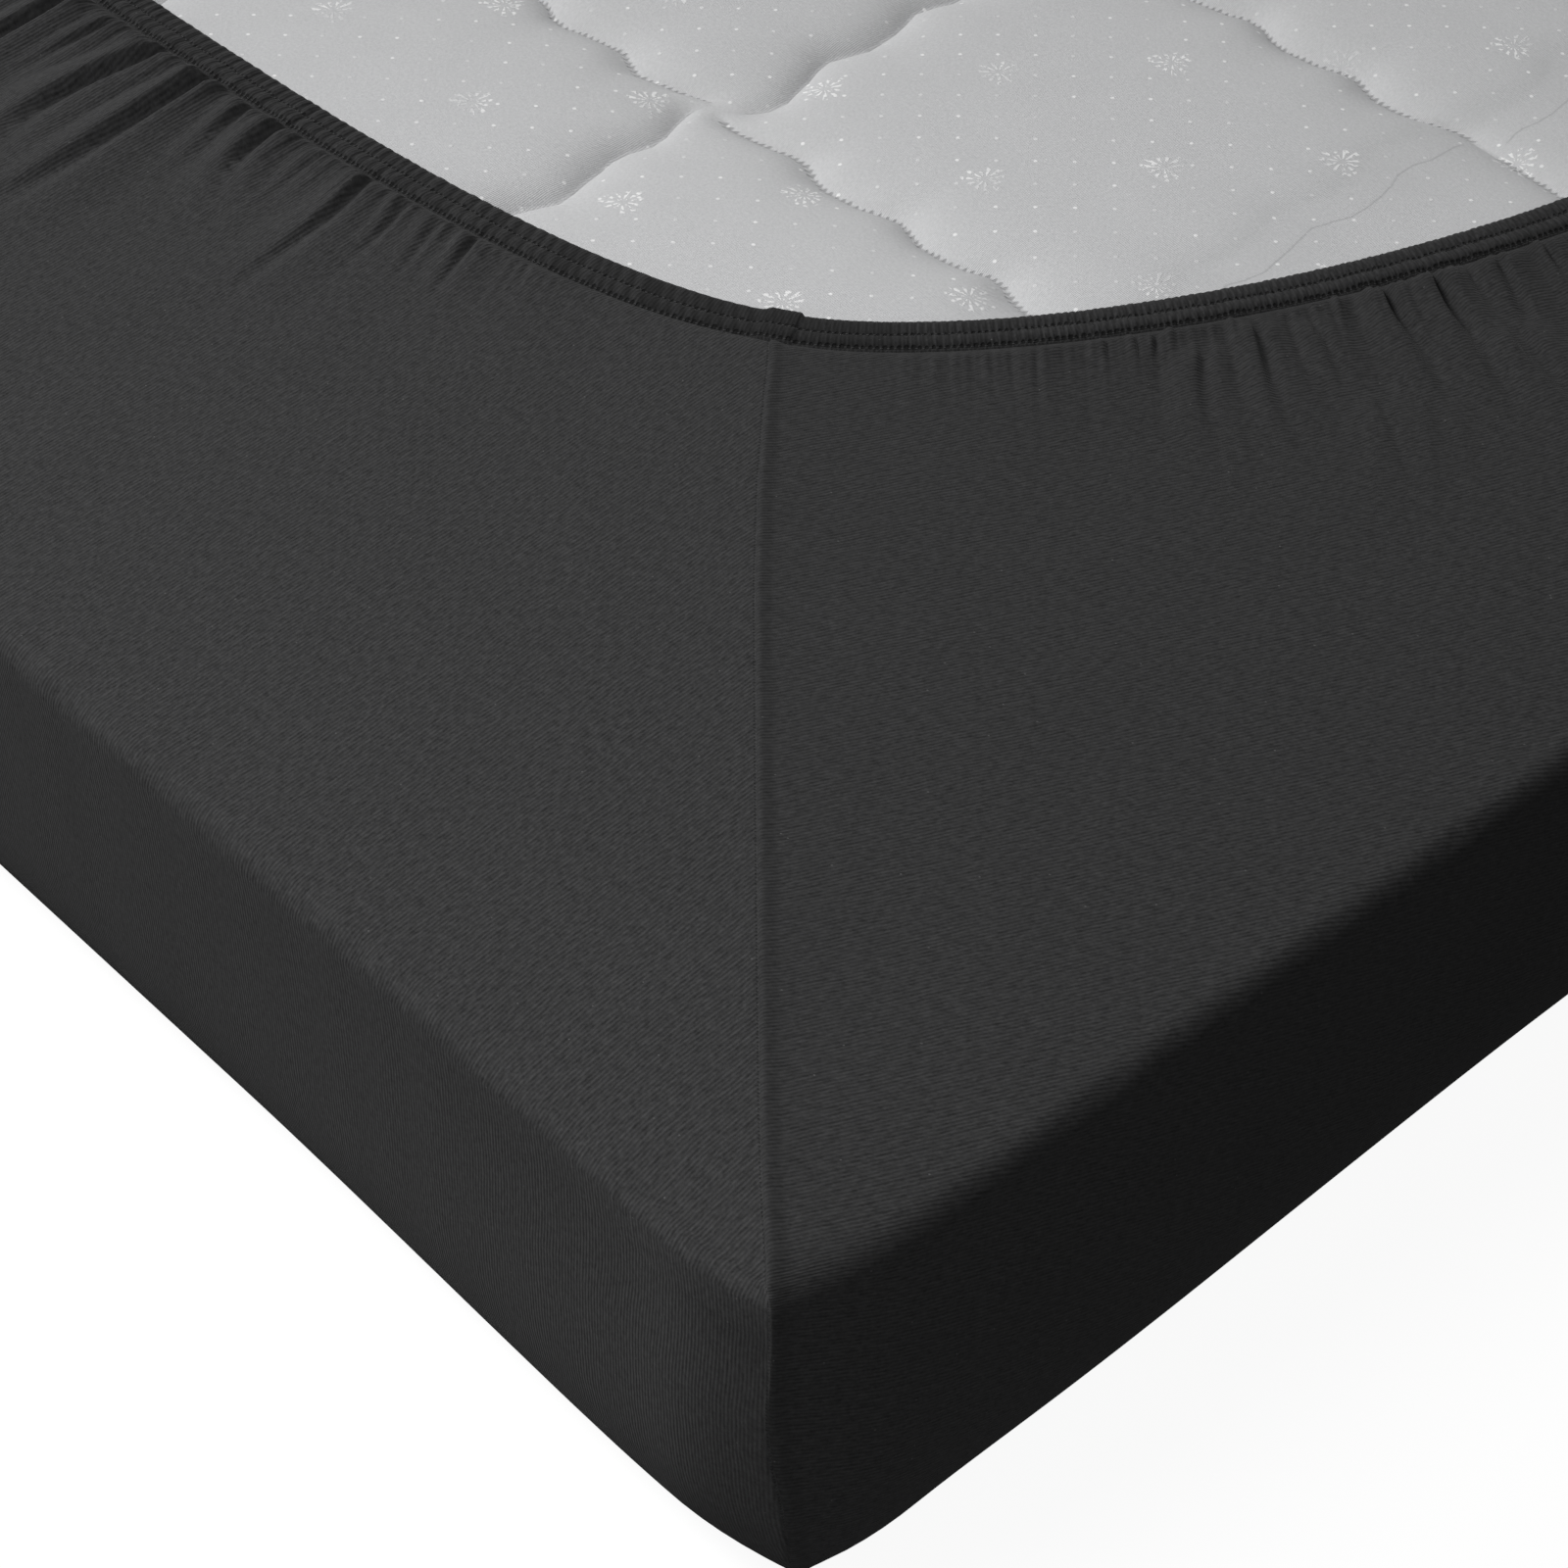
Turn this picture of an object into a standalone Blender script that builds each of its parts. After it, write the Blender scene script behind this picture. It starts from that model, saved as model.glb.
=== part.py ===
"""A jersey fitted sheet pulled over a mattress that lies face down.

The sheet wraps the sleeping face below and the four sides, turns in over the underside above, and
ends in a gathered elastic hem. Each corner has one sewn seam, which runs up the corner and along
the diagonal of the turn-in. Inside the hem shows the mattress's quilted ticking.

A place near a corner is written (along, across): its distance from the short edge and from the
long edge. Rings of such places, from the sleeping face round to the hem, are joined into a shell.
"""
import math
import random

import bmesh
import bpy
from mathutils import Vector

# Overall size, metres
WIDTH = 1.000
LENGTH = 2.000
HEIGHT = 0.118
CLOTH = 0.0015
CLEARANCE = 0.0003

# Edges and corners of the wrapped mattress. The lower round is elliptical: across, then up
LOWER_ROUND = (0.014, 0.048)
UPPER_ROUND = 0.009
ROUND_STEPS = 3
CORNER_RADIUS = 0.110
CORNER_TURN = math.radians(18)
TIP_CUT = CORNER_RADIUS * (1 - math.cos(CORNER_TURN))

# Corner seams, a low ridge. A ring's points beside it keep this far from it in place
SEAM_HALF_WIDTH = 0.002
SEAM_RISE = 0.0010
SEAM_PLACE = 0.001

# Hem, as distances from the short edge and the long edge
HEM_SEAM = (0.2627, 0.2361)
HEM_BAND = 0.012
HEM_THICKNESS = 0.0028
HEM_RISE = 0.0012
HEM_STEP = 0.0006
# columns: half of the side, how fast the mesh lines straighten, the hem's depth at mid-side,
# where it becomes straight, its angle and handle at the seam, its handle at the straight part, and
# how many mesh lines lead from the corner's bend to mid-side
SIDES = {
    "long": dict(half=LENGTH / 2, straighten=9.0, depth=0.2041, straight=0.5977, lines=9,
                 angle=math.radians(33), seam_handle=0.067, side_handle=0.091),
    "short": dict(half=WIDTH / 2, straighten=1.0, depth=0.1467, straight=0.500, lines=6,
                  angle=math.radians(27), seam_handle=0.055, side_handle=0.102),
}
LINE_SPREAD = 1.3
# The turn-in's rings end at this share of the way out from the hem at most
LINE_LIMIT = 0.75

# Folds that the elastic gathers, from the seam towards mid-side
# columns: distance of the crest from the short edge, its height, its reach out from the hem
LONG_FOLDS = (
    (0.342, 0.0008, 0.030),
    (0.378, 0.0018, 0.060),
    (0.404, 0.0020, 0.070),
    (0.430, 0.0026, 0.060),
    (0.452, 0.0030, 0.085),
    (0.477, 0.0034, 0.095),
    (0.505, 0.0032, 0.100),
)
# columns: distance of the crest from the long edge, its height, its reach out from the hem
SHORT_FOLDS = (
    (0.286, 0.0006, 0.020),
    (0.306, 0.0014, 0.035),
    (0.325, 0.0022, 0.055),
    (0.345, 0.0024, 0.050),
    (0.367, 0.0030, 0.060),
    (0.388, 0.0030, 0.065),
    (0.409, 0.0028, 0.070),
)
FOLD_PITCH = (0.026, 0.044)
FOLD_HEIGHT = (0.0018, 0.0036)
FOLD_REACH = (0.050, 0.100)
FOLD_RINGS = (0.030, 0.065)
FOLD_SEED = 11
# Shares of the calm stretch between the seam and the first fold that get a mesh line
CALM_LINES = (0.25, 0.5, 0.75)
# How far the folds move along at every third half side, as a share of the hem
FOLD_SHIFT = 0.012

# Quilting of the ticking: lines at every pitch from one crossing of lines
QUILT_PITCH = (0.153, 0.163)
QUILT_CROSSING = (-0.0603, -0.6513)
QUILT_DEPTH = 0.008
QUILT_SHOULDER = 0.72
MATTRESS_EXTRA_ROUND = 0.0030
MATTRESS_CORNER = 0.050
# Shares of each round, from its start to the box's edge, at which the mattress is cut
MATTRESS_RIM = (0.0, 0.45, 0.8)

# Quilting stays this far inside the mattress's corner round
QUILT_MARGIN = 0.010

# Angles that shade as sharp and that count as flat, and how near counts as touching
SHARP_ANGLE = math.radians(40)
FLAT_ANGLE = math.radians(0.05)
TOUCH = 1e-6

# Colours, linear
CLOTH_GREY = (0.040, 0.040, 0.042, 1.0)
TICKING_GREY = (0.50, 0.50, 0.51, 1.0)

CORNERS = ((-1, -1), (1, -1), (1, 1), (-1, 1))


def bezier(points, t):
    """A point of the cubic curve with these four control points."""
    s = 1 - t
    weights = (s ** 3, 3 * s * s * t, 3 * s * t * t, t ** 3)
    return [sum(w * p[axis] for w, p in zip(weights, points)) for axis in (0, 1)]


def hem_handles(side):
    """Control points of the hem's curve by the seam, as (forward, inward) from the corner."""
    size = SIDES[side]
    forward, inward = HEM_SEAM if side == "long" else reversed(HEM_SEAM)
    dx, dy = math.cos(size["angle"]), -math.sin(size["angle"])
    if side == "short":
        dx, dy = -dy, -dx
    reach = size["seam_handle"]
    end = (size["straight"], size["depth"])
    return (
        (forward, inward),
        (forward + reach * dx, inward + reach * dy),
        (end[0] - size["side_handle"], end[1]),
        end,
    )


def hem_place(side, share):
    """The hem's edge at a share of the way from the seam to mid-side, as (forward, inward)."""
    size = SIDES[side]
    handles = hem_handles(side)
    start = handles[0][0]
    forward = start + share * (size["half"] - start)
    if forward >= size["straight"]:
        return forward, size["depth"]
    low, high = 0.0, 1.0
    for _ in range(40):
        middle = (low + high) / 2
        if bezier(handles, middle)[0] < forward:
            low = middle
        else:
            high = middle
    return forward, bezier(handles, low)[1]


def edge_along(side, share):
    """How far along the outer edge the mesh line to this share of the hem begins."""
    size = SIDES[side]
    start = hem_handles(side)[0][0]
    fan = start * (1 - (1 - share) ** size["straighten"])
    return fan + share * (size["half"] - start)


def outline_place(side, share, inset):
    """The outline, drawn in by inset, as (forward, inward): straight, then bent to the seam."""
    half = SIDES[side]["half"]
    bend_start = inset + TIP_CUT + CORNER_RADIUS * math.sin(CORNER_TURN)
    bend = CORNER_RADIUS * CORNER_TURN
    distance = edge_along(side, share) / half * (bend + half - bend_start)
    if distance >= bend:
        return bend_start + distance - bend, inset
    left = CORNER_TURN - distance / CORNER_RADIUS
    forward = inset + TIP_CUT + CORNER_RADIUS * (math.sin(CORNER_TURN) - math.sin(left))
    return forward, inset + CORNER_RADIUS * (1 - math.cos(left))


def in_world(corner, side, place, height):
    """The world point of a (forward, inward) place by this corner."""
    along, across = place if side == "long" else reversed(place)
    return Vector((corner[0] * (WIDTH / 2 - across), corner[1] * (LENGTH / 2 - along), height))


def share_at(side, forward):
    """The hem's share at this distance from the corner."""
    start = hem_handles(side)[0][0]
    return (forward - start) / (SIDES[side]["half"] - start)


def fold_rows(side, dice):
    """One half side's folds as (share, height, reach): the table's, then more up to mid-side."""
    rows = list(LONG_FOLDS if side == "long" else SHORT_FOLDS)
    half = SIDES[side]["half"]
    place = rows[-1][0] + dice.uniform(*FOLD_PITCH)
    while place < half - FOLD_PITCH[0]:
        rows.append((place, dice.uniform(*FOLD_HEIGHT), dice.uniform(*FOLD_REACH)))
        place += dice.uniform(*FOLD_PITCH)
    return [(share_at(side, forward), height, reach) for forward, height, reach in rows]


def fold_line_points(side, dice, shift):
    """(share, height, reach) at each crest and the trough after it, from the seam to mid-side."""
    rows = [(share + shift, height, reach) for share, height, reach in fold_rows(side, dice)]
    first = rows[0][0]
    points = [(first * part, 0.0, 0.0) for part in CALM_LINES]
    for number, (share, height, reach) in enumerate(rows):
        points.append((share, height, reach))
        following = rows[number + 1][0] if number + 1 < len(rows) else 1.0
        points.append(((share + following) / 2, 0.0, 0.0))
    return points


def half_sides():
    """The eight half sides in order round the part: (corner, side, whether it runs to the seam)."""
    for number, corner in enumerate(CORNERS):
        first = "long" if number % 2 == 0 else "short"
        second = "short" if first == "long" else "long"
        yield corner, first, True
        yield corner, second, False


def ring_of(half_points, locate, rise):
    """A ring as (place, point) pairs. A place counts half sides, so each seam is an odd number.

    half_points gives a half side's (share, height, reach) rows, locate places one of them, and rise
    is the seam's own lift at each corner.
    """
    ring = []
    seam_row = (0.0, 0.0, 0.0)
    for number, (corner, side, to_seam) in enumerate(half_sides()):
        seam = locate(corner, side, seam_row)
        toward = locate(corner, side, (SEAM_PLACE, 0.0, 0.0)) - seam
        placed = [(SEAM_PLACE, seam + toward.normalized() * SEAM_HALF_WIDTH)]
        placed += [(row[0], locate(corner, side, row)) for row in half_points[number]]
        if to_seam:
            ring.append((number, locate(corner, side, (1.0, 0.0, 0.0))))
            ring += [(number + 1 - share, point) for share, point in reversed(placed)]
        else:
            lift = Vector((corner[0] * rise[0], corner[1] * rise[0], rise[1]))
            ring.append((number, seam + lift))
            ring += [(number + share, point) for share, point in placed]
    return ring


def wrapped_ring(rows, inset, height, slope):
    """A ring round the block, whose surface leans by slope from upright (-90 to 90 degrees)."""
    sideways = SEAM_RISE * math.cos(slope) / math.sqrt(2)
    upward = SEAM_RISE * math.sin(slope) if height > 0 else 0.0

    def locate(corner, side, row):
        """Places a row on the outline."""
        return in_world(corner, side, outline_place(side, row[0], inset), height)
    return ring_of(rows, locate, (sideways, upward))


def turned_in_ring(rows, past_hem, height, folded):
    """A ring on the turn-in, past_hem outside the hem's edge along the mesh lines."""
    def locate(corner, side, row):
        """Places a row between the hem and the outline, on its fold if the ring has folds."""
        share, crest, reach = row
        edge = Vector(outline_place(side, share, UPPER_ROUND))
        hem = Vector(hem_place(side, share))
        out = edge - hem
        place = hem + out.normalized() * min(past_hem, LINE_LIMIT * out.length)
        fold = 0.0
        if folded and reach > 0:
            fold = crest * max(0.0, 1 - max(0.0, past_hem - HEM_BAND) / reach)
        return in_world(corner, side, place, height + fold)
    return ring_of(rows, locate, (0.0, SEAM_RISE))


def share_for(side, along):
    """The share of the hem whose mesh line begins this far along the outer edge."""
    low, high = 0.0, 1.0
    for _ in range(40):
        middle = (low + high) / 2
        if edge_along(side, middle) < along:
            low = middle
        else:
            high = middle
    return low


def edge_rows(side):
    """Plain rows at even places round the corner's bend, then wider apart to mid-side."""
    half = SIDES[side]["half"]
    count = SIDES[side]["lines"]
    bend = CORNER_RADIUS * CORNER_TURN
    places = [bend / 3, bend * 2 / 3, bend]
    places += [bend + (half - bend) * (step / count) ** LINE_SPREAD for step in range(1, count)]
    return [(share_for(side, place), 0.0, 0.0) for place in places]


def sheet_rings(dice):
    """Every ring of the sheet's outer face, from the sleeping face to the hem's edge."""
    outer_rows = [edge_rows(side) for _, side, _ in half_sides()]
    hem_rows = [fold_line_points(side, dice, FOLD_SHIFT * (number % 3))
                for number, (_, side, _) in enumerate(half_sides())]
    turns = [math.radians(90) * step / ROUND_STEPS for step in range(ROUND_STEPS + 1)]
    across, up = LOWER_ROUND
    rings = [wrapped_ring(outer_rows, across * (1 - math.sin(turn)), up * (1 - math.cos(turn)),
                          turn - math.radians(90)) for turn in turns]
    rings += [wrapped_ring(outer_rows, UPPER_ROUND * (1 - math.cos(turn)),
                           HEIGHT - UPPER_ROUND * (1 - math.sin(turn)), turn) for turn in turns]
    rings.append(turned_in_ring(outer_rows, max(FOLD_REACH), HEIGHT, False))
    for distance in reversed(FOLD_RINGS):
        rings.append(turned_in_ring(hem_rows, HEM_BAND + distance, HEIGHT, True))
    rings.append(turned_in_ring(hem_rows, HEM_BAND + HEM_STEP, HEIGHT, True))
    band_start = len(rings)
    rings.append(turned_in_ring(hem_rows, HEM_BAND, HEIGHT + HEM_RISE, True))
    rings.append(turned_in_ring(hem_rows, 0.0, HEIGHT + HEM_RISE, False))
    return rings, band_start


def bridge(bm, first, second):
    """Joins two rings of (place, vertex) pairs, which may have unlike numbers of points."""
    lower = first + [(first[0][0] + 8, first[0][1])]
    upper = second + [(second[0][0] + 8, second[0][1])]
    i = j = 0
    while i < len(first) or j < len(second):
        step_lower = lower[i + 1][0] if i < len(first) else math.inf
        step_upper = upper[j + 1][0] if j < len(second) else math.inf
        if abs(step_lower - step_upper) < 1e-7:
            bm.faces.new((lower[i][1], lower[i + 1][1], upper[j + 1][1], upper[j][1]))
            i += 1
            j += 1
        elif step_lower < step_upper:
            bm.faces.new((lower[i][1], lower[i + 1][1], upper[j][1]))
            i += 1
        else:
            bm.faces.new((lower[i][1], upper[j + 1][1], upper[j][1]))
            j += 1


def material(name, colour, roughness):
    """A plain finish with this colour and roughness."""
    finish = bpy.data.materials.new(name)
    finish.use_nodes = True
    shader = finish.node_tree.nodes["Principled BSDF"]
    shader.inputs["Base Color"].default_value = colour
    shader.inputs["Roughness"].default_value = roughness
    shader.inputs["Metallic"].default_value = 0.0
    finish.diffuse_color = colour
    return finish


def add_object(name, bm, finish, collection):
    """Makes an object of the mesh, in this collection."""
    mesh = bpy.data.meshes.new(name)
    bm.to_mesh(mesh)
    bm.free()
    mesh.materials.append(finish)
    made = bpy.data.objects.new(name, mesh)
    collection.objects.link(made)
    return made


def build_sheet(collection):
    """The fitted sheet: an open loft from the sleeping face to the hem, given its thickness."""
    rings, band_start = sheet_rings(random.Random(FOLD_SEED))
    bm = bmesh.new()
    placed = [[(place, bm.verts.new(point)) for place, point in ring] for ring in rings]
    for first, second in zip(placed, placed[1:]):
        bridge(bm, first, second)
    bm.faces.new([vertex for _, vertex in reversed(placed[0])])
    bm.verts.index_update()
    band = [vertex.index for ring in placed[band_start:] for _, vertex in ring]
    sheet = add_object("fitted_sheet", bm, material("jersey", CLOTH_GREY, 0.9), collection)
    sheet.vertex_groups.new(name="hem").add(band, 1.0, "REPLACE")
    shell = sheet.modifiers.new("thickness", "SOLIDIFY")
    shell.thickness = HEM_THICKNESS
    shell.offset = -1.0
    shell.vertex_group = "hem"
    shell.thickness_vertex_group = CLOTH / HEM_THICKNESS
    shell.use_even_offset = False
    sheet.data.shade_smooth()
    sheet.data.set_sharp_from_angle(angle=SHARP_ANGLE)
    return sheet


def quilt_lines(axis, reach):
    """Quilting lines and quarter lines across this axis, within reach of the middle."""
    step = QUILT_PITCH[axis] / 4
    first = math.ceil((-reach - QUILT_CROSSING[axis]) / step)
    last = math.floor((reach - QUILT_CROSSING[axis]) / step)
    return [QUILT_CROSSING[axis] + number * step for number in range(first, last + 1)]


def quilt_height(x, y):
    """How far the puffed ticking lies below its crown."""
    away = []
    for axis, value in enumerate((x, y)):
        turns = (value - QUILT_CROSSING[axis]) / QUILT_PITCH[axis] % 1.0
        away.append(min(turns, 1 - turns) * 2)
    puff = min(away) ** (1 - QUILT_SHOULDER)
    return -QUILT_DEPTH * (1 - puff)


def rounded(point, half, rounds):
    """Moves a point of the box's surface onto its rounded form.

    rounds gives the edge's (across, up) round below and above.
    """
    across, up = rounds[point.z > 0]
    core = Vector((half.x - MATTRESS_CORNER, half.y - MATTRESS_CORNER))
    plan = Vector((max(-core.x, min(core.x, point.x)), max(-core.y, min(core.y, point.y))))
    out = Vector((point.x, point.y)) - plan
    reach = max(abs(out.x), abs(out.y))
    if out.length > 0:
        out = out.normalized() * reach
    straight = MATTRESS_CORNER - across
    overhang = max(0.0, reach - straight) / across
    rise = max(0.0, abs(point.z) - (half.z - up)) / up
    height = point.z
    if overhang > 0 and rise > 0:
        profile = Vector((overhang, rise)).normalized() * max(overhang, rise)
        out = out * ((straight + across * profile.x) / reach)
        height = math.copysign(half.z - up + up * profile.y, point.z)
    return Vector((plan.x + out.x, plan.y + out.y, height))


def mattress_cuts(axis, half, rounds):
    """Where the box is cut across this axis: along its rounds and its quilting lines."""
    if axis == 2:
        return [sign * (half.z - up * (1 - part))
                for sign, (_, up) in zip((-1, 1), rounds) for part in MATTRESS_RIM]
    cuts = [half[axis] - MATTRESS_CORNER]
    cuts += [half[axis] - across * (1 - part) for across, _ in rounds for part in MATTRESS_RIM]
    mirrored = [sign * cut for sign in (-1, 1) for cut in cuts]
    return mirrored + quilt_lines(axis, half[axis] - MATTRESS_CORNER - QUILT_MARGIN)


def build_mattress(collection):
    """The mattress: a box cut along its quilting lines, rounded, with the cells puffed up."""
    gap = CLOTH + CLEARANCE
    half = Vector((WIDTH / 2 - gap, LENGTH / 2 - gap, HEIGHT / 2 - gap))
    extra = MATTRESS_EXTRA_ROUND
    upper = UPPER_ROUND + extra
    rounds = (tuple(size + extra for size in LOWER_ROUND), (upper, upper))
    bm = bmesh.new()
    bmesh.ops.create_cube(bm, size=2.0)
    bmesh.ops.scale(bm, vec=half, verts=bm.verts)
    for axis in range(3):
        normal = Vector([float(axis == other) for other in range(3)])
        for cut in sorted(mattress_cuts(axis, half, rounds)):
            everything = bm.verts[:] + bm.edges[:] + bm.faces[:]
            bmesh.ops.bisect_plane(bm, geom=everything, plane_co=normal * cut, plane_no=normal)
    for vertex in bm.verts:
        on_top = vertex.co.z > half.z - TOUCH
        inside = min(half.x - abs(vertex.co.x), half.y - abs(vertex.co.y)) > MATTRESS_CORNER
        relief = quilt_height(vertex.co.x, vertex.co.y) if on_top and inside else 0.0
        vertex.co = rounded(vertex.co, half, rounds) + Vector((0, 0, HEIGHT / 2 + relief))
    below_top = HEIGHT - gap - upper + TOUCH
    flat_verts = [vertex for vertex in bm.verts if vertex.co.z < below_top]
    flat_edges = [side for side in bm.edges if max(v.co.z for v in side.verts) < below_top]
    bmesh.ops.dissolve_limit(bm, angle_limit=FLAT_ANGLE, verts=flat_verts, edges=flat_edges)
    block = add_object("mattress", bm, material("ticking", TICKING_GREY, 0.7), collection)
    block.data.shade_smooth()
    block.data.set_sharp_from_angle(angle=SHARP_ANGLE)
    return block


def main():
    """Clears the scene and builds the sheet and the mattress in it."""
    for thing in list(bpy.data.objects):
        bpy.data.objects.remove(thing, do_unlink=True)
    collection = bpy.data.collections.new("fitted_sheet_on_mattress")
    bpy.context.scene.collection.children.link(collection)
    build_sheet(collection)
    build_mattress(collection)


main()
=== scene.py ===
"""Looks for a jersey fitted sheet pulled over a mattress that lies face down.

The sheet is a surface of closed rings: from the sleeping face below, up the sides and in over the
mattress's underside to a gathered hem. A place near a corner is written (along, across), its
distance from the short edge and from the long edge. On one half of a side it is written (forward,
inward), its distance from the corner and from that side. All sizes are in metres.
"""
import logging
import math
import random
from collections.abc import Callable, Iterator, Sequence
from dataclasses import dataclass, field
from enum import Enum

import bpy
import numpy as np
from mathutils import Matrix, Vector


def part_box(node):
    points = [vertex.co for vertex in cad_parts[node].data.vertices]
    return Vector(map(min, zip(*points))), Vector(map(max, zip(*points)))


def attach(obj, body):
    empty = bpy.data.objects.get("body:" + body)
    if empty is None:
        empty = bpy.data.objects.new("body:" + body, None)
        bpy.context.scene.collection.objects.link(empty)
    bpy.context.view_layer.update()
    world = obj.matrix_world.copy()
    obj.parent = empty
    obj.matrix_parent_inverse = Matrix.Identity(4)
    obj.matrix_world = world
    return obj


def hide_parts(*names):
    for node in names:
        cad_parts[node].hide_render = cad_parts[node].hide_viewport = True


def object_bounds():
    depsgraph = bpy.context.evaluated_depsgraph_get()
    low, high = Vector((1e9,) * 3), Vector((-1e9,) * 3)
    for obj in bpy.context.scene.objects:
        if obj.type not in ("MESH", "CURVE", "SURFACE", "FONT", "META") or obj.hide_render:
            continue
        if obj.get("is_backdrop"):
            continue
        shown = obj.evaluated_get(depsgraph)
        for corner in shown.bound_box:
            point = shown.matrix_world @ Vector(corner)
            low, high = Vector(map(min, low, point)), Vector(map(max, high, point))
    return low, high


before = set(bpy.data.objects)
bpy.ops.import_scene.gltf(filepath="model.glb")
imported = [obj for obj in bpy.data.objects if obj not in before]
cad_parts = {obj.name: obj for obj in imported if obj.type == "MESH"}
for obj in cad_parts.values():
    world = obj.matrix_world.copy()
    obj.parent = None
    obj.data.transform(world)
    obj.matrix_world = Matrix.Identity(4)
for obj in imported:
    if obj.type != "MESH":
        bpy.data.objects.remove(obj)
CAD_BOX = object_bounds()

BODY = "root"

Array = np.ndarray
Span = tuple[float, float]
Table = tuple[tuple[float, ...], ...]
Colour = tuple[float, float, float, float]
Material = bpy.types.Material
Piece = bpy.types.Object

log = logging.getLogger("fitted_sheet")


def smooth(value: Array | float) -> Array:
    """Eases from 0 to 1 as the value goes from 0 to 1."""
    share = np.clip(value, 0.0, 1.0)
    return share * share * (3.0 - 2.0 * share)


def bell(value: Array | float, reach: float) -> Array:
    """Falls off both ways from 1 at zero, to about a third at the reach."""
    return np.exp(-(value / reach) ** 2)


def arch(value: Array) -> Array:
    """A quarter wave: 1 at zero and 0 from one on."""
    return np.cos(np.pi / 2 * np.clip(value, 0.0, 1.0))


def unit(vectors: Array) -> Array:
    """The rows of an array, each made one long."""
    return vectors / np.linalg.norm(vectors, axis=-1, keepdims=True)


def blend(first: Array, second: Array, share: Array) -> Array:
    """Rows between two arrays' rows: the first's at a share of 0 and the second's at 1."""
    return first + (second - first) * np.asarray(share)[..., None]


def look_up(table: Table, place: Array | float) -> Array:
    """Reads a table's second column between its rows, at places along its first column."""
    places, values = zip(*table)
    return np.interp(place, places, values)


def uneven_steps(first: float, near_end: float, total: float, near: float, far: float) -> Array:
    """Runs from the first to just short of the total, closer together up to the near end.

    Args:
        first: the first run.
        near_end: where the close steps end.
        total: the whole run.
        near: the close steps' size.
        far: the other steps' size.

    Returns:
        The runs.
    """
    near_end = max(near_end, first)
    counts = round((near_end - first) / near), max(1, round((total - near_end) / far))
    return np.concatenate((np.linspace(first, near_end, counts[0] + 1)[:-1],
                           np.linspace(near_end, total, counts[1] + 1)[:-1]))


# ---- The wrapped block ----


class Side(Enum):
    """A pair of the mattress's sides."""

    LONG = "long"
    SHORT = "short"


def by_side(long: object, short: object) -> dict:
    """A dataclass field with one value for the long sides and one for the short sides."""
    return field(default_factory=lambda: {Side.LONG: long, Side.SHORT: short})


@dataclass(frozen=True)
class SideShape:
    """How the hem runs along one kind of side, from the corner seam to mid-side."""

    half: float
    straighten: float
    depth: float
    straight: float
    seam_angle: float
    seam_handle: float
    side_handle: float


@dataclass(frozen=True)
class HalfSide:
    """One half of a side. They are counted round the part, and each odd place is a corner seam."""

    number: int
    corner: tuple[int, int]
    side: Side
    to_seam: bool

    @property
    def is_long(self) -> bool:
        """Whether it is part of a long side."""
        return self.side is Side.LONG

    @property
    def is_charted(self) -> bool:
        """Whether it is by the corner that the photo shows."""
        return self.number in (0, 1)


@dataclass(frozen=True)
class RingPlace:
    """Where a ring lies on the block: cloth from the sleeping face, inset, lean and height."""

    arc: float
    inset: float
    slope: float
    height: float
    turned_in: bool = False


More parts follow.
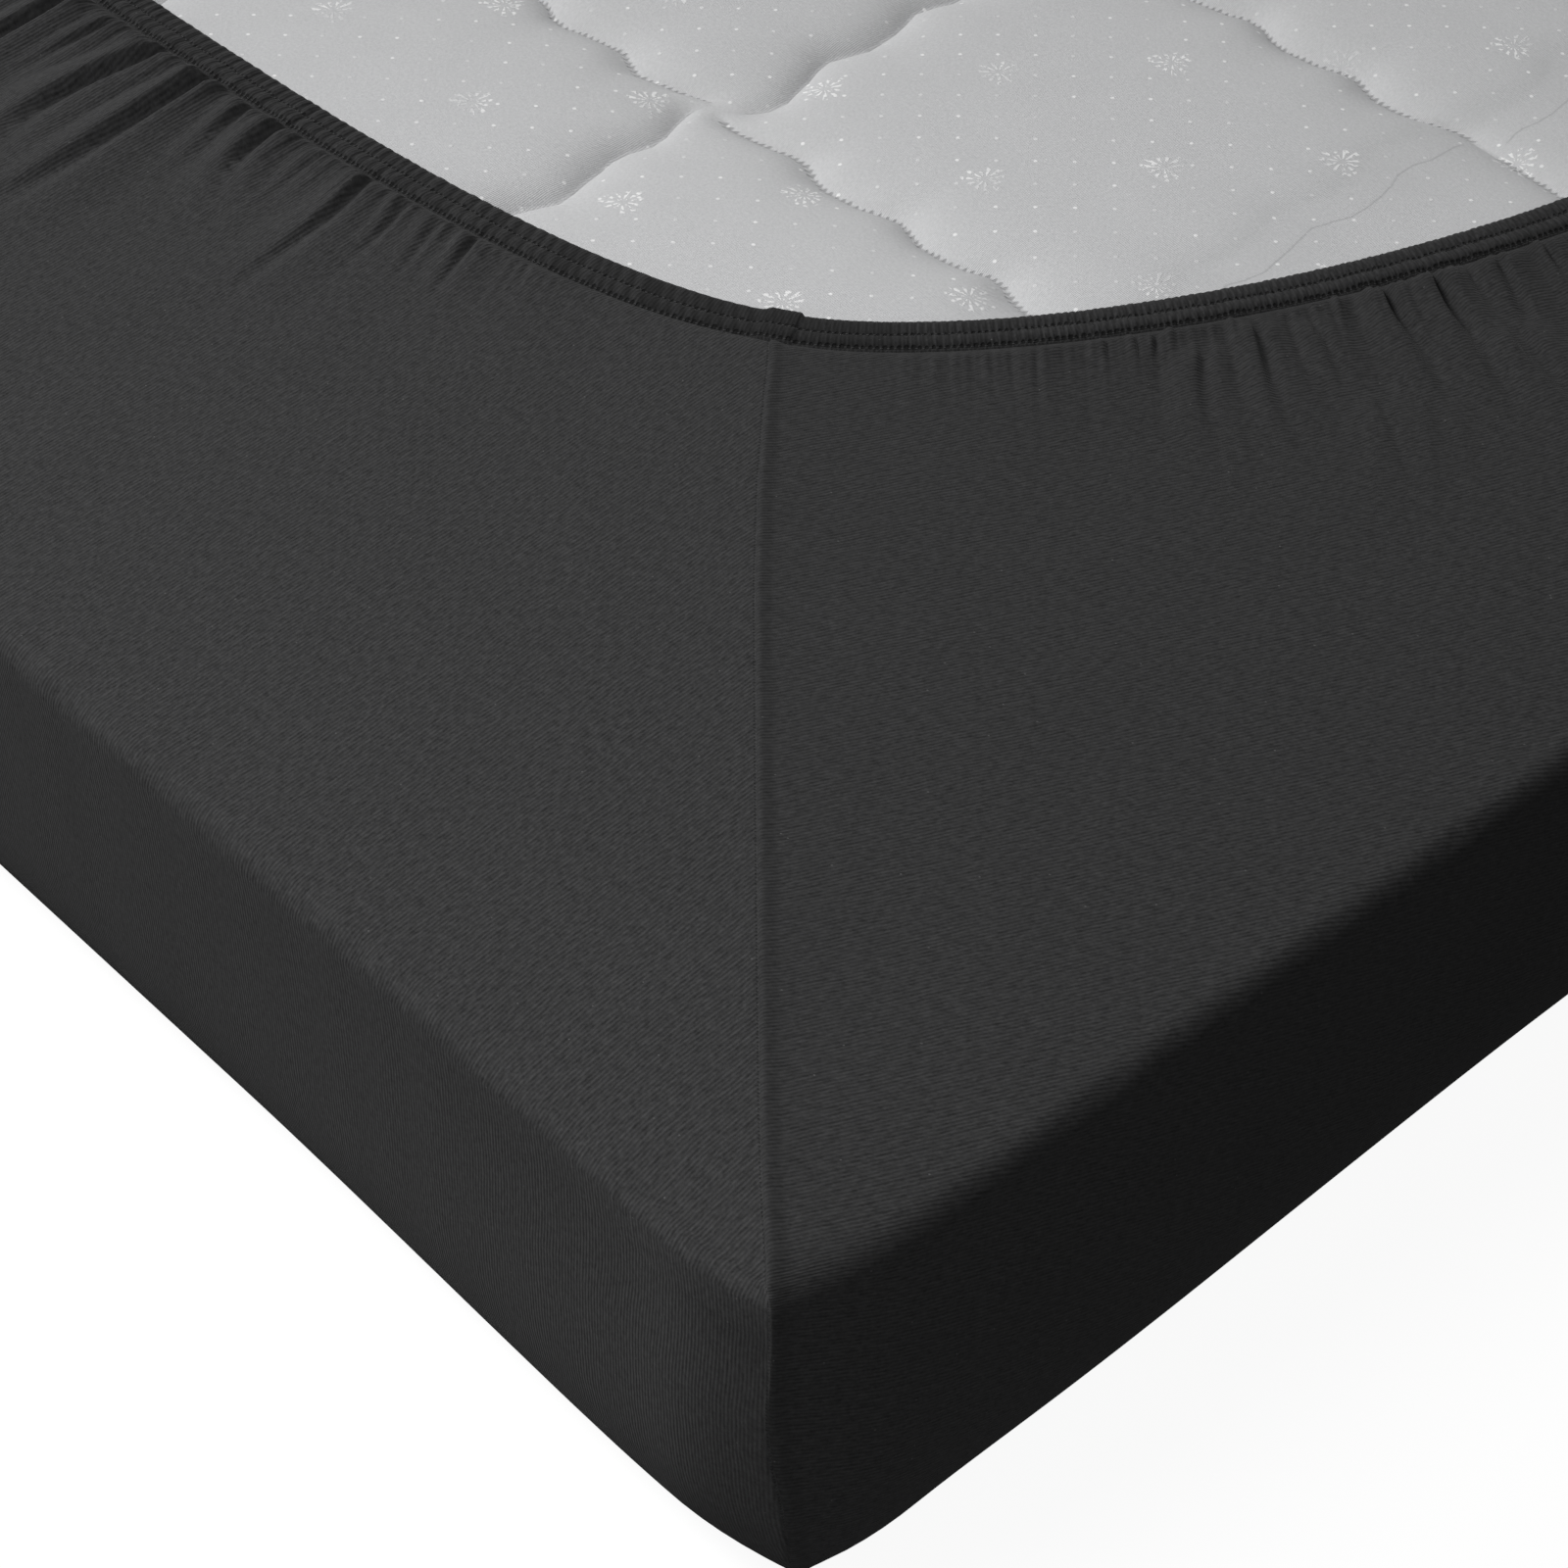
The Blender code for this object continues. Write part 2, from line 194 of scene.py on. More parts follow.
@dataclass
class WrappedBlock:
    """The outer face of the wrapped mattress, and where the hem's edge lies over it."""

    width: float = 1.000
    length: float = 2.000
    height: float = 0.118
    # the lower round is elliptical: across, then up
    lower_round: Span = (0.014, 0.048)
    upper_round: float = 0.0062
    corner_radius: float = 0.110
    corner_turn: float = math.radians(18)
    hem_seam: Span = (0.2627, 0.2361)
    corners: tuple[tuple[int, int], ...] = ((-1, -1), (1, -1), (1, 1), (-1, 1))
    normal_blend: float = 0.015
    shapes: dict[Side, SideShape] = by_side(
        SideShape(half=1.000, straighten=9.0, depth=0.2041, straight=0.5977,
                  seam_angle=math.radians(33), seam_handle=0.067, side_handle=0.091),
        SideShape(half=0.500, straighten=1.0, depth=0.1467, straight=0.500,
                  seam_angle=math.radians(27), seam_handle=0.055, side_handle=0.102))
    curve_points: int = 2001
    share_points: int = 4001

    def __post_init__(self) -> None:
        """Works out each side's hem, as rows of forward, inward, normal and run."""
        self.tip_cut = self.corner_radius * (1 - math.cos(self.corner_turn))
        self.bend = self.corner_radius * self.corner_turn
        self.hems = {side: self._hem_table(side) for side in Side}
        seam_normal = unit(self.hems[Side.LONG][0, 2:4] + self.hems[Side.SHORT][0, 3:1:-1])
        self.seam_normals = {Side.LONG: seam_normal, Side.SHORT: seam_normal[::-1]}

    def half_sides(self) -> Iterator[HalfSide]:
        """The eight half sides in order round the part.

        Yields:
            Each half side.
        """
        for number, corner in enumerate(self.corners):
            order = (Side.LONG, Side.SHORT) if number % 2 == 0 else (Side.SHORT, Side.LONG)
            yield HalfSide(2 * number, corner, order[0], True)
            yield HalfSide(2 * number + 1, corner, order[1], False)

    def _hem_table(self, side: Side) -> Array:
        """The hem's edge as closely spaced rows.

        Args:
            side: which kind of side.

        Returns:
            Rows of forward, inward, the normal's two parts and the run from the seam.
        """
        shape = self.shapes[side]
        start = self.hem_seam if side is Side.LONG else self.hem_seam[::-1]
        lean = (math.cos(shape.seam_angle), -math.sin(shape.seam_angle))
        if side is Side.SHORT:
            lean = (-lean[1], -lean[0])
        handles = np.array([
            start,
            (start[0] + shape.seam_handle * lean[0], start[1] + shape.seam_handle * lean[1]),
            (shape.straight - shape.side_handle, shape.depth),
            (shape.straight, shape.depth),
        ])
        t = np.linspace(0.0, 1.0, self.curve_points)[:, None]
        curve = (handles[0] * (1 - t) ** 3 + 3 * handles[1] * t * (1 - t) ** 2
                 + 3 * handles[2] * t ** 2 * (1 - t) + handles[3] * t ** 3)
        if shape.half > shape.straight:
            curve = np.vstack((curve, (shape.half, shape.depth)))
        steps = np.gradient(curve, axis=0)
        normals = unit(np.column_stack((steps[:, 1], -steps[:, 0])))
        run = np.concatenate(([0.0], np.cumsum(np.linalg.norm(np.diff(curve, axis=0), axis=1))))
        return np.column_stack((curve, normals, run))

    def hem_length(self, side: Side) -> float:
        """The hem's length from the seam to mid-side."""
        return float(self.hems[side][-1, 4])

    def hem_start(self, side: Side) -> float:
        """How far forward the hem begins at the seam."""
        return float(self.hems[side][0, 0])

    def hem_at(self, side: Side, shares: Array) -> tuple[Array, Array, Array]:
        """The hem's edge at shares of the way to mid-side.

        Args:
            side: which kind of side.
            shares: shares of the way forward from the seam to mid-side.

        Returns:
            The places, the outward normals and the run from the seam.
        """
        table = self.hems[side]
        forward = table[0, 0] + shares * (self.shapes[side].half - table[0, 0])
        inward, along, out, run = (np.interp(forward, table[:, 0], table[:, i]) for i in range(1, 5))
        normals = unit(np.column_stack((along, out)))
        at_seam = np.broadcast_to(self.seam_normals[side], normals.shape)
        normals = unit(blend(at_seam, normals, smooth(run / self.normal_blend)))
        return np.column_stack((forward, inward)), normals, run

    def share_at(self, side: Side, forward: Array | float) -> Array:
        """The hem's share at this distance forward from the corner."""
        start = self.hem_start(side)
        return (np.asarray(forward) - start) / (self.shapes[side].half - start)

    def run_at(self, side: Side, forward: float) -> float:
        """The hem's run from the seam at this distance forward from the corner."""
        return float(np.interp(forward, self.hems[side][:, 0], self.hems[side][:, 4]))

    def share_at_run(self, side: Side, run: Array) -> Array:
        """The hem's share at this run from the seam."""
        return self.share_at(side, np.interp(run, self.hems[side][:, 4], self.hems[side][:, 0]))

    def edge_along(self, side: Side, shares: Array) -> Array:
        """How far along the outer edge the cloth's line to these shares of the hem begins."""
        shape, start = self.shapes[side], self.hem_start(side)
        return start * (1 - (1 - shares) ** shape.straighten) + shares * (shape.half - start)

    def share_from_edge(self, side: Side, along: Array) -> Array:
        """The hem's shares whose lines begin this far along the outer edge."""
        shares = np.linspace(0.0, 1.0, self.share_points)
        return np.interp(along, self.edge_along(side, shares), shares)

    def outline(self, side: Side, shares: Array, inset: float) -> tuple[Array, Array]:
        """The outline drawn in by inset: straight, then bent round to the corner seam.

        Args:
            side: which kind of side.
            shares: shares of the hem whose lines begin there.
            inset: how far in the outline is drawn.

        Returns:
            The places and their outward normals.
        """
        half = self.shapes[side].half
        bend_start = inset + self.tip_cut + self.corner_radius * math.sin(self.corner_turn)
        distance = self.edge_along(side, shares) / half * (self.bend + half - bend_start)
        left = np.maximum(self.corner_turn - distance / self.corner_radius, 0.0)
        bent = self.corner_radius * (math.sin(self.corner_turn) - np.sin(left))
        forward = inset + self.tip_cut + bent + np.maximum(distance - self.bend, 0.0)
        inward = inset + self.corner_radius * (1 - np.cos(left))
        return np.column_stack((forward, inward)), -np.column_stack((np.sin(left), np.cos(left)))

    @staticmethod
    def along_across(half: HalfSide, places: Array) -> tuple[Array, Array]:
        """Distances from the short edge and from the long edge."""
        forward, inward = places[:, 0], places[:, 1]
        return (forward, inward) if half.is_long else (inward, forward)

    def in_world(self, half: HalfSide, places: Array, heights: Array | float) -> Array:
        """World points of (forward, inward) places on this half side.

        Args:
            half: the half side.
            places: the places.
            heights: their heights.

        Returns:
            The points.
        """
        along, across = self.along_across(half, places)
        return np.column_stack((half.corner[0] * (self.width / 2 - across),
                                half.corner[1] * (self.length / 2 - along), heights + 0.0 * along))

    def world_direction(self, half: HalfSide, directions: Array) -> Array:
        """World directions of (forward, inward) directions on this half side."""
        along, across = self.along_across(half, directions)
        return np.column_stack((-half.corner[0] * across, -half.corner[1] * along, 0.0 * along))

    def profile(self, low_steps: int, wall_steps: int, top_steps: int) -> list[RingPlace]:
        """Rings round the block, from the sleeping face's rim up to the turn-in's rim.

        Args:
            low_steps: steps of the lower round.
            wall_steps: steps of the upright wall.
            top_steps: steps of the upper round.

        Returns:
            The rings' places from the lowest up.
        """
        across, up = self.lower_round
        wall_top = self.height - self.upper_round
        rows = [(across * (1 - math.sin(turn)), up * (1 - math.cos(turn)),
                 -math.atan2(across * math.cos(turn), up * math.sin(turn)))
                for turn in np.linspace(0.0, math.pi / 2, low_steps + 1)]
        rows += [(0.0, height, 0.0) for height in np.linspace(up, wall_top, wall_steps + 1)[1:-1]]
        rows += [(self.upper_round * (1 - math.cos(turn)),
                  wall_top + self.upper_round * math.sin(turn), turn)
                 for turn in np.linspace(0.0, math.pi / 2, top_steps + 1)]
        arc = 0.0
        rings = [RingPlace(arc, rows[0][0], rows[0][2], rows[0][1])]
        for before, (inset, height, slope) in zip(rows, rows[1:]):
            arc += math.dist(before[:2], (inset, height))
            rings.append(RingPlace(arc, inset, slope, height))
        return rings


# ---- Folds, gathers and other relief ----


@dataclass(frozen=True)
class Fold:
    """A fold that runs out from the hem: a ridge, its one steep flank and a low ridge beyond it.

    Its place is the steep flank's, as run round the hem. It starts and ends so far out from the
    hem's outer stitching, leans toward the next fold by so much for each metre out, and curves.
    """

    place: float
    height: float
    steep: float
    soft: float
    reach: float
    lean: float = 0.0
    start: float = 0.0
    curve: float = 0.0


@dataclass(frozen=True)
class Ripples:
    """Small ridges side by side along the hem, at uneven steps and of uneven height."""

    step: Span
    height: Span
    reach: float
    seed: int
    overlap: float = 0.53
    power: float = 0.55
    sample: float = 0.0001

    def profile(self, total: float) -> Array:
        """The ridges' heights at even steps round a hem of this total length.

        Args:
            total: the hem's length.

        Returns:
            Heights at about one sample size apart, the last joining up with the first.
        """
        dice = random.Random(self.seed)
        runs = np.linspace(0.0, total, int(total / self.sample) + 1)
        heights = np.zeros(len(runs))
        place = 0.0
        while place < total - self.step[0]:
            width = dice.uniform(*self.step)
            crest = dice.uniform(*self.height)
            away = np.abs(runs - place - width / 2) / (width * self.overlap)
            heights = np.maximum(heights, crest * arch(away) ** self.power)
            place += width
        return heights


@dataclass
class HemFolds:
    """All that the elastic gathers: main folds, small gathers and the hem's own ribs.

    The two tables hold the folds by the corner at -X -Y, from its seam towards mid-side, and the
    rest follow the part's own rule.
    """

    block: WrappedBlock
    band: float = 0.0146
    seed: int = 11
    pitch: Span = (0.026, 0.044)
    height: Span = (0.0026, 0.0050)
    reach: Span = (0.050, 0.100)
    shift_step: float = 0.012
    plain_steep: Span = (0.0028, 0.0046)
    plain_soft: Span = (0.0080, 0.0125)
    widen: float = 6.0
    fold_reach: float = 0.060
    # a fold's sideways waver: how far, over what length, and how soon it sets in
    waver: float = 0.0009
    waver_length: float = 0.011
    waver_start: float = 0.02
    rise_length: float = 0.0085
    # columns: distance from the short edge, then a fold's sizes in their order
    long_rows: Table = (
        (0.3087, 0.0008, 0.0016, 0.005, 0.010),
        (0.3187, 0.0007, 0.0014, 0.004, 0.009, 0.10),
        (0.3277, 0.0010, 0.0016, 0.005, 0.014, 0.05),
        (0.3367, 0.0012, 0.0017, 0.006, 0.018, 0.05),
        (0.3467, 0.0022, 0.0024, 0.008, 0.030, 0.05),
        (0.3597, 0.0019, 0.0022, 0.008, 0.030, 0.05),
        (0.3727, 0.0019, 0.0022, 0.008, 0.034, 0.05),
        (0.3881, 0.0033, 0.0028, 0.010, 0.068, 0.03),
        (0.4067, 0.0022, 0.0024, 0.008, 0.032),
        (0.4160, 0.0016, 0.0020, 0.006, 0.018, 0.10),
        (0.4258, 0.0044, 0.0034, 0.010, 0.050, -0.07, 0.0, 8.0),
        (0.4409, 0.0031, 0.0028, 0.009, 0.040, 0.21),
        (0.4604, 0.0053, 0.0038, 0.011, 0.105, 0.04),
        (0.4797, 0.0053, 0.0038, 0.012, 0.112, -0.29, 0.0, 4.6),
        (0.4930, 0.0018, 0.0022, 0.007, 0.022, 0.10),
        (0.5047, 0.0024, 0.0026, 0.008, 0.050),
        (0.5261, 0.0050, 0.0026, 0.010, 0.150, 0.20, 0.0, -1.2),
        (0.5390, 0.0018, 0.0022, 0.007, 0.022),
        (0.5487, 0.0037, 0.0030, 0.011, 0.090),
    )
    # columns: distance from the long edge, then as above
    short_rows: Table = (
        (0.2651, 0.0006, 0.0012, 0.004, 0.020),
        (0.2851, 0.0009, 0.0013, 0.005, 0.029),
        (0.2961, 0.0007, 0.0012, 0.004, 0.012),
        (0.3068, 0.0016, 0.0016, 0.004, 0.020, 0.09),
        (0.3127, 0.0019, 0.0017, 0.005, 0.020, -0.06),
        (0.3227, 0.0020, 0.0028, 0.008, 0.048, -0.05, 0.010),
        (0.3319, 0.0020, 0.0016, 0.004, 0.018, 0.20),
        (0.3350, 0.0030, 0.0026, 0.007, 0.060, 0.09, 0.003),
        (0.3402, 0.0017, 0.0018, 0.006, 0.034, 0.20, 0.020),
        (0.3477, 0.0026, 0.0020, 0.006, 0.036, 0.20, 0.007),
        (0.3547, 0.0018, 0.0020, 0.007, 0.032, 0.10, 0.046),
        (0.3600, 0.0019, 0.0017, 0.005, 0.014, 0.10),
        (0.3706, 0.0040, 0.0027, 0.009, 0.064, 0.10),
        (0.3770, 0.0019, 0.0017, 0.005, 0.014, 0.10),
        (0.3842, 0.0050, 0.0032, 0.010, 0.064, 0.09),
        (0.3814, 0.0018, 0.0022, 0.006, 0.034, -0.19, 0.050),
        (0.3940, 0.0019, 0.0017, 0.005, 0.014),
        (0.3935, 0.0036, 0.0028, 0.009, 0.062, 0.12, 0.030),
        (0.4034, 0.0032, 0.0026, 0.009, 0.045, -0.04, 0.0, -1.1),
        (0.4110, 0.0019, 0.0017, 0.005, 0.014),
        (0.4181, 0.0018, 0.0018, 0.009, 0.040),
    )
    gathers: tuple[Ripples, ...] = (
        Ripples(step=(0.0022, 0.0037), height=(0.00070, 0.00240), reach=0.010, seed=21),
        Ripples(step=(0.0045, 0.0085), height=(0.00040, 0.00160), reach=0.015, seed=22),
        Ripples(step=(0.0120, 0.0220), height=(0.00010, 0.00090), reach=0.035, seed=23, power=0.9),
    )
    gather_start: float = 0.0045
    ribs: dict[Side, Ripples] = by_side(
        Ripples(step=(0.0030, 0.0050), height=(0.00050, 0.00110), reach=0.0, seed=24, power=0.9),
        Ripples(step=(0.0017, 0.0026), height=(0.00060, 0.00105), reach=0.0, seed=25, power=0.75))
    least_rib: float = 0.40
    echo: float = 0.70
    strength: float = 1.15
    fade_power: float = 1.1
    solid_rows: dict[Side, tuple[float, ...]] = by_side(
        (0.342, 0.378, 0.404, 0.430, 0.452, 0.477, 0.505),
        (0.286, 0.306, 0.325, 0.345, 0.367, 0.388, 0.409))
    solid_heights: tuple[float, ...] = (0.0009, 0.0020, 0.0028, 0.0034, 0.0042, 0.0046, 0.0044)
    # how far the first of those reaches out, and how much farther the rest do for each metre on
    solid_reach: tuple[float, float, float] = (0.020, 0.160, 0.280)
    # painted shade where the gathers keep light from the cloth: how dark on their crests, in their
    # valleys, and how far out
    shade: Span = (0.24, 0.92)
    crest_gain: float = 1.4
    painted_shade_reach: float = 0.0100
    # by the corner seams the cloth is gathered this little, up to there, then more over the run
    least_calm: float = 0.12
    calm_start: float = 0.015
    calm_run: dict[Side, float] = by_side(0.110, 0.070)

    def __post_init__(self) -> None:
        """Works out the folds and the ridge profiles round the whole hem."""
        self.halves = list(self.block.half_sides())
        lengths = [self.block.hem_length(half.side) for half in self.halves]
        self.offsets = np.concatenate(([0.0], np.cumsum(lengths)))
        self.total = float(self.offsets[-1])
        self.folds = self._all_folds()
        self.gather_profiles = [ripples.profile(self.total) for ripples in self.gathers]
        self.rib_profiles = {side: ribs.profile(self.total) for side, ribs in self.ribs.items()}

    def around(self, half: HalfSide, run: Array | float) -> Array:
        """Turns a run from the half side's seam into a run round the whole hem."""
        low, high = self.offsets[half.number], self.offsets[half.number + 1]
        return high - run if half.to_seam else low + run

    def _place(self, half: HalfSide, forward: float) -> float:
        """The run round the whole hem at this distance forward from a half side's corner."""
        return float(self.around(half, self.block.run_at(half.side, forward)))

    def _all_folds(self) -> list[Fold]:
        """Every fold round the hem, the two tables' in place of the rule's by their corner.

        Returns:
            The folds.
        """
        dice, looks = random.Random(self.seed), random.Random(self.seed + 1)
        reach, farther, start = self.solid_reach
        folds = []
        for half in self.halves:
            end = self.block.shapes[half.side].half
            last = 0.0
            if half.is_charted:
                rows = self.long_rows if half.is_long else self.short_rows
                folds += [Fold(self._place(half, place), *sizes) for place, *sizes in rows]
                last = rows[-1][0] + self.pitch[0] / 2
            ruled = [(place, height, reach + farther * (place - start))
                     for place, height in zip(self.solid_rows[half.side], self.solid_heights)]
            place = ruled[-1][0] + dice.uniform(*self.pitch)
            while place < end - self.pitch[0]:
                ruled.append((place, dice.uniform(*self.height), dice.uniform(*self.reach)))
                place += dice.uniform(*self.pitch)
            shift = self.shift_step * (half.number % 3) * (end - self.block.hem_start(half.side))
            for place, height, far in ruled:
                if place + shift > last:
                    folds.append(Fold(self._place(half, place + shift), height,
                                      looks.uniform(*self.plain_steep),
                                      looks.uniform(*self.plain_soft), far))
        return folds

    def calm(self, around: Array) -> Array:
        """How strongly the cloth is gathered: little by the corner seams, in full further on.

        Args:
            around: runs round the whole hem.

        Returns:
            Shares of the full gathers.
        """
        share = np.ones(len(around))
        for half in self.halves:
            low, high = self.offsets[half.number:half.number + 2]
            away = np.abs(around - (high if half.to_seam else low))
            more = smooth((away - self.calm_start) / self.calm_run[half.side])
            near = self.least_calm + (1.0 - self.least_calm) * more
            share = np.where((around >= low) & (around <= high), near, share)
        return share

    def _away(self, fold: Fold, around: Array) -> Array:
        """How far these runs round the hem lie past a fold, the shorter way round."""
        return (around - fold.place + self.total / 2) % self.total - self.total / 2

    def _one_fold(self, fold: Fold, around: Array, out: Array) -> Array:
        """The height of one fold.

        Args:
            fold: the fold.
            around: runs round the whole hem.
            out: distances out from the outer stitching.

        Returns:
            Heights over the flat cloth.
        """
        waver = self.waver * np.sin(out / self.waver_length + fold.place * 400.0)
        widen = 1.0 + self.widen * np.maximum(out, 0.0)
        drift = (fold.lean + fold.curve * out) * out + waver * smooth(out / self.waver_start)
        away = (self._away(fold, around) - drift) / widen + fold.steep / 2
        ridge = arch(np.where(away < 0, -away / fold.soft, away / fold.steep)) ** 2
        beyond = away - 2 * fold.steep
        second = arch(np.where(beyond < 0, -beyond / fold.steep, beyond / fold.soft)) ** 2
        rise = smooth((out - fold.start + 0.0002) / self.rise_length)
        fade = 1.0 - np.clip((out - fold.start) / fold.reach, 0.0, 1.0) ** self.fade_power
        return self.strength * fold.height * (ridge + self.echo * second) * rise * fade

    def _read(self, profile: Array, around: Array) -> Array:
        """A ridge profile's heights at these runs round the hem."""
        return np.interp(around, np.linspace(0.0, self.total, len(profile)), profile)

    def relief(self, around: Array, distance: Array) -> Array:
        """How far the gathered cloth stands up outside the hem band.

        Args:
            around: runs round the whole hem.
            distance: distances from the hem's edge.

        Returns:
            Heights above the flat turn-in.
        """
        out = distance - self.band
        main = np.zeros(len(around))
        for fold in self.folds:
            near = np.abs(self._away(fold, around)) < self.fold_reach
            if near.any():
                main[near] = np.maximum(main[near], self._one_fold(fold, around[near], out[near]))
        small = np.zeros(len(around))
        for ripples, profile in zip(self.gathers, self.gather_profiles):
            small += self._read(profile, around) * np.exp(-np.maximum(out, 0.0) / ripples.reach)
        return main + small * self.calm(around) * smooth(out / self.gather_start)

    def painted_valley_shade(self, around: Array, distance: float) -> Array:
        """How much painted shade the smallest gathers put on the cloth, for the light they keep from
        it.

        Args:
            around: runs round the whole hem.
            distance: the distance from the hem's edge.

        Returns:
            Shares from 0 to 1.
        """
        crest = self._read(self.gather_profiles[0], around) / self.gathers[0].height[1]
        on_crest, in_valley = self.shade
        shade = in_valley + (on_crest - in_valley) * np.clip(crest * self.crest_gain, 0.0, 1.0)
        return shade * self.calm(around) * math.exp(-max(distance - self.band, 0.0) / self.painted_shade_reach)

    def rib_height(self, side: Side, around: Array) -> Array:
        """How far the hem's ribs stand up at these runs round the hem."""
        ribs = self._read(self.rib_profiles[side], around % self.total)
        return ribs * (self.least_rib + (1.0 - self.least_rib) * self.calm(around % self.total))


@dataclass(frozen=True)
class Undulation:
    """Slow unevenness of stretched cloth: waves of a few sizes that cross each other."""

    # columns: wave length, direction, share of the whole
    waves: Table = ((0.031, 0.4, 0.16), (0.047, 2.1, 0.24), (0.068, 1.2, 0.30), (0.113, 2.8, 0.30),
                    (0.171, 0.9, 0.36))
    cross_length: float = 1.9
    cross_bend: float = 1.3

    def at(self, points: Array) -> Array:
        """The waves at these points.

        Args:
            points: world points.

        Returns:
            Values from about -1 to 1.
        """
        total = np.zeros(len(points))
        for number, (length, direction, share) in enumerate(self.waves):
            run = points[:, 0] * math.cos(direction) + points[:, 1] * math.sin(direction)
            side = points[:, 1] * math.cos(direction) - points[:, 0] * math.sin(direction)
            bend = np.sin(side * 2 * np.pi / (length * self.cross_length) + 1.7 * number)
            total += share * np.sin(run * 2 * np.pi / length + self.cross_bend * bend + 2.3 * number)
        return total


@dataclass(frozen=True)
class EdgeShape:
    """How the wrapped cloth departs from the plain block by its edges: rim waves, sags, bulges."""

    block: WrappedBlock
    wave: float = 0.0009
    wave_length: float = 0.026
    wave_reach: float = 0.009
    wave_start: float = 0.05
    # the wave is highest where the cloth leans so far, and fades over so much lean
    wave_lean: Span = (math.radians(50), math.radians(32))
    turn_in_wave: float = 0.675 * math.exp(1.17 - 1.56)
    sag: dict[Side, float] = by_side(0.0042, 0.0010)
    sag_along: float = 0.105
    sag_inward: float = 0.027
    dent: dict[Side, float] = by_side(0.0013, 0.0006)
    # how much of the dent runs on along the whole side
    dent_on: dict[Side, float] = by_side(0.6, 0.2)
    dent_height: float = 0.094
    dent_spread: float = 0.013
    bulge: dict[Side, float] = by_side(0.0016, 0.0009)
    bulge_along: float = 0.110
    bulge_margin: float = 0.012
    # how far the wall lies inside the block away from the corners: depth, from where, over what
    hollow: dict[Side, tuple[float, float, float]] = by_side((0.0022, 0.05, 0.17),
                                                             (0.0019, 0.13, 0.15))
    hollow_height: float = 0.055
    swell: dict[Side, float] = by_side(0.0, 0.0008)
    swell_place: float = 0.100
    swell_spread: float = 0.050

    def _ripple(self, half: HalfSide, forward: Array) -> Array:
        """The rim's uneven waves along its run.

        Args:
            half: the half side.
            forward: distances from the corner.

        Returns:
            Heights.
        """
        phase = forward * 2 * np.pi / self.wave_length + 1.9 * half.number
        uneven = 1.6 * np.sin(phase * 0.37 + half.number) + 0.7 * np.sin(phase * 0.171)
        swing = 0.65 + 0.35 * np.sin(phase * 0.23 + 2.0 * half.number)
        return self.wave * np.sin(phase + uneven) * swing * smooth(forward / self.wave_start)

    def on_round(self, half: HalfSide, forward: Array, ring: RingPlace) -> Array:
        """The departure on a ring round the block.

        Args:
            half: the half side.
            forward: distances from the corner.
            ring: the ring.

        Returns:
            How far the cloth stands out.
        """
        side, height, slope = half.side, ring.height, ring.slope
        shape = self._ripple(half, forward) * bell(slope - self.wave_lean[0], self.wave_lean[1])
        near = bell(forward, self.sag_along)
        shape = shape - self.sag[side] * near * math.sin(max(slope, 0.0))
        dent = self.dent[side] * (self.dent_on[side] + (1.0 - self.dent_on[side]) * near)
        shape = shape - dent * bell(height - self.dent_height, self.dent_spread)
        rise = math.sin(math.pi * min(1.0, height / (self.block.height - self.bulge_margin))) ** 2
        shape = shape + self.bulge[side] * bell(forward, self.bulge_along) * rise
        low = 1.0 - smooth((height - self.hollow_height) / self.hollow_height)
        low = low * smooth((slope + math.pi / 2) / 0.5)
        amount, start, over = self.hollow[side]
        swell = self.swell[side] * bell(forward - self.swell_place, self.swell_spread)
        return shape + (swell - amount * smooth((forward - start) / over)) * low

    def on_turn_in(self, half: HalfSide, forward: Array, inward: Array) -> Array:
        """The departure on the turn-in, so far inside its rim.

        Args:
            half: the half side.
            forward: distances from the corner.
            inward: distances in from the rim.

        Returns:
            How far the cloth stands up.
        """
        drop = bell(forward, self.sag_along) * np.clip(1.0 - inward / self.sag_inward, 0.0, 1.0) ** 2
        wave = self.turn_in_wave * bell(inward, self.wave_reach) * self._ripple(half, forward)
        return wave - self.sag[half.side] * drop


@dataclass(frozen=True)
class SeamPath:
    """How far a corner seam wanders from the straight way up the corner and over the turn-in."""

    # columns: how far along the seam lies, and how far it is drawn towards the long side
    on_turn_in: Table = (
        (0.0000, 0.0037), (0.0127, 0.0037), (0.0326, 0.0045), (0.0764, 0.0041), (0.1248, 0.0035),
        (0.1787, 0.0027), (0.2075, 0.0014), (0.2373, -0.0011), (0.2500, -0.0026), (0.2627, -0.0028),
    )
    # columns: how far along the seam lies, and how far from it the cloth is drawn with it
    reaches: Table = ((0.0, 0.032), (0.080, 0.075), (0.200, 0.070), (0.250, 0.028))
    # columns: height up the corner, and how far it is drawn towards the long side
    on_wall: Table = (
        (0.0, -0.0025), (0.0040, -0.0025), (0.0260, -0.0014), (0.0430, -0.0007), (0.0610, 0.0021),
        (0.0750, 0.0032), (0.1000, 0.0024), (0.1118, 0.0024), (0.1180, 0.0037),
    )
    wall_reach: float = 0.032

    def shift(self, half: HalfSide, places: Array, ring: RingPlace) -> Array:
        """Moves a ring's (forward, inward) places along with the seam.

        Args:
            half: the half side.
            places: the places, the seam's own first.
            ring: the ring.

        Returns:
            The moved places.
        """
        distances = np.linalg.norm(places - places[0], axis=1)
        if ring.turned_in:
            along = places[0, 0 if half.is_long else 1]
            amount, reach = look_up(self.on_turn_in, along), look_up(self.reaches, along)
        else:
            amount, reach = look_up(self.on_wall, ring.height), self.wall_reach
        drawn = (1.0 if half.is_long else -1.0) * amount / math.sqrt(2) * bell(distances, reach)
        return places + np.column_stack((drawn, -drawn))


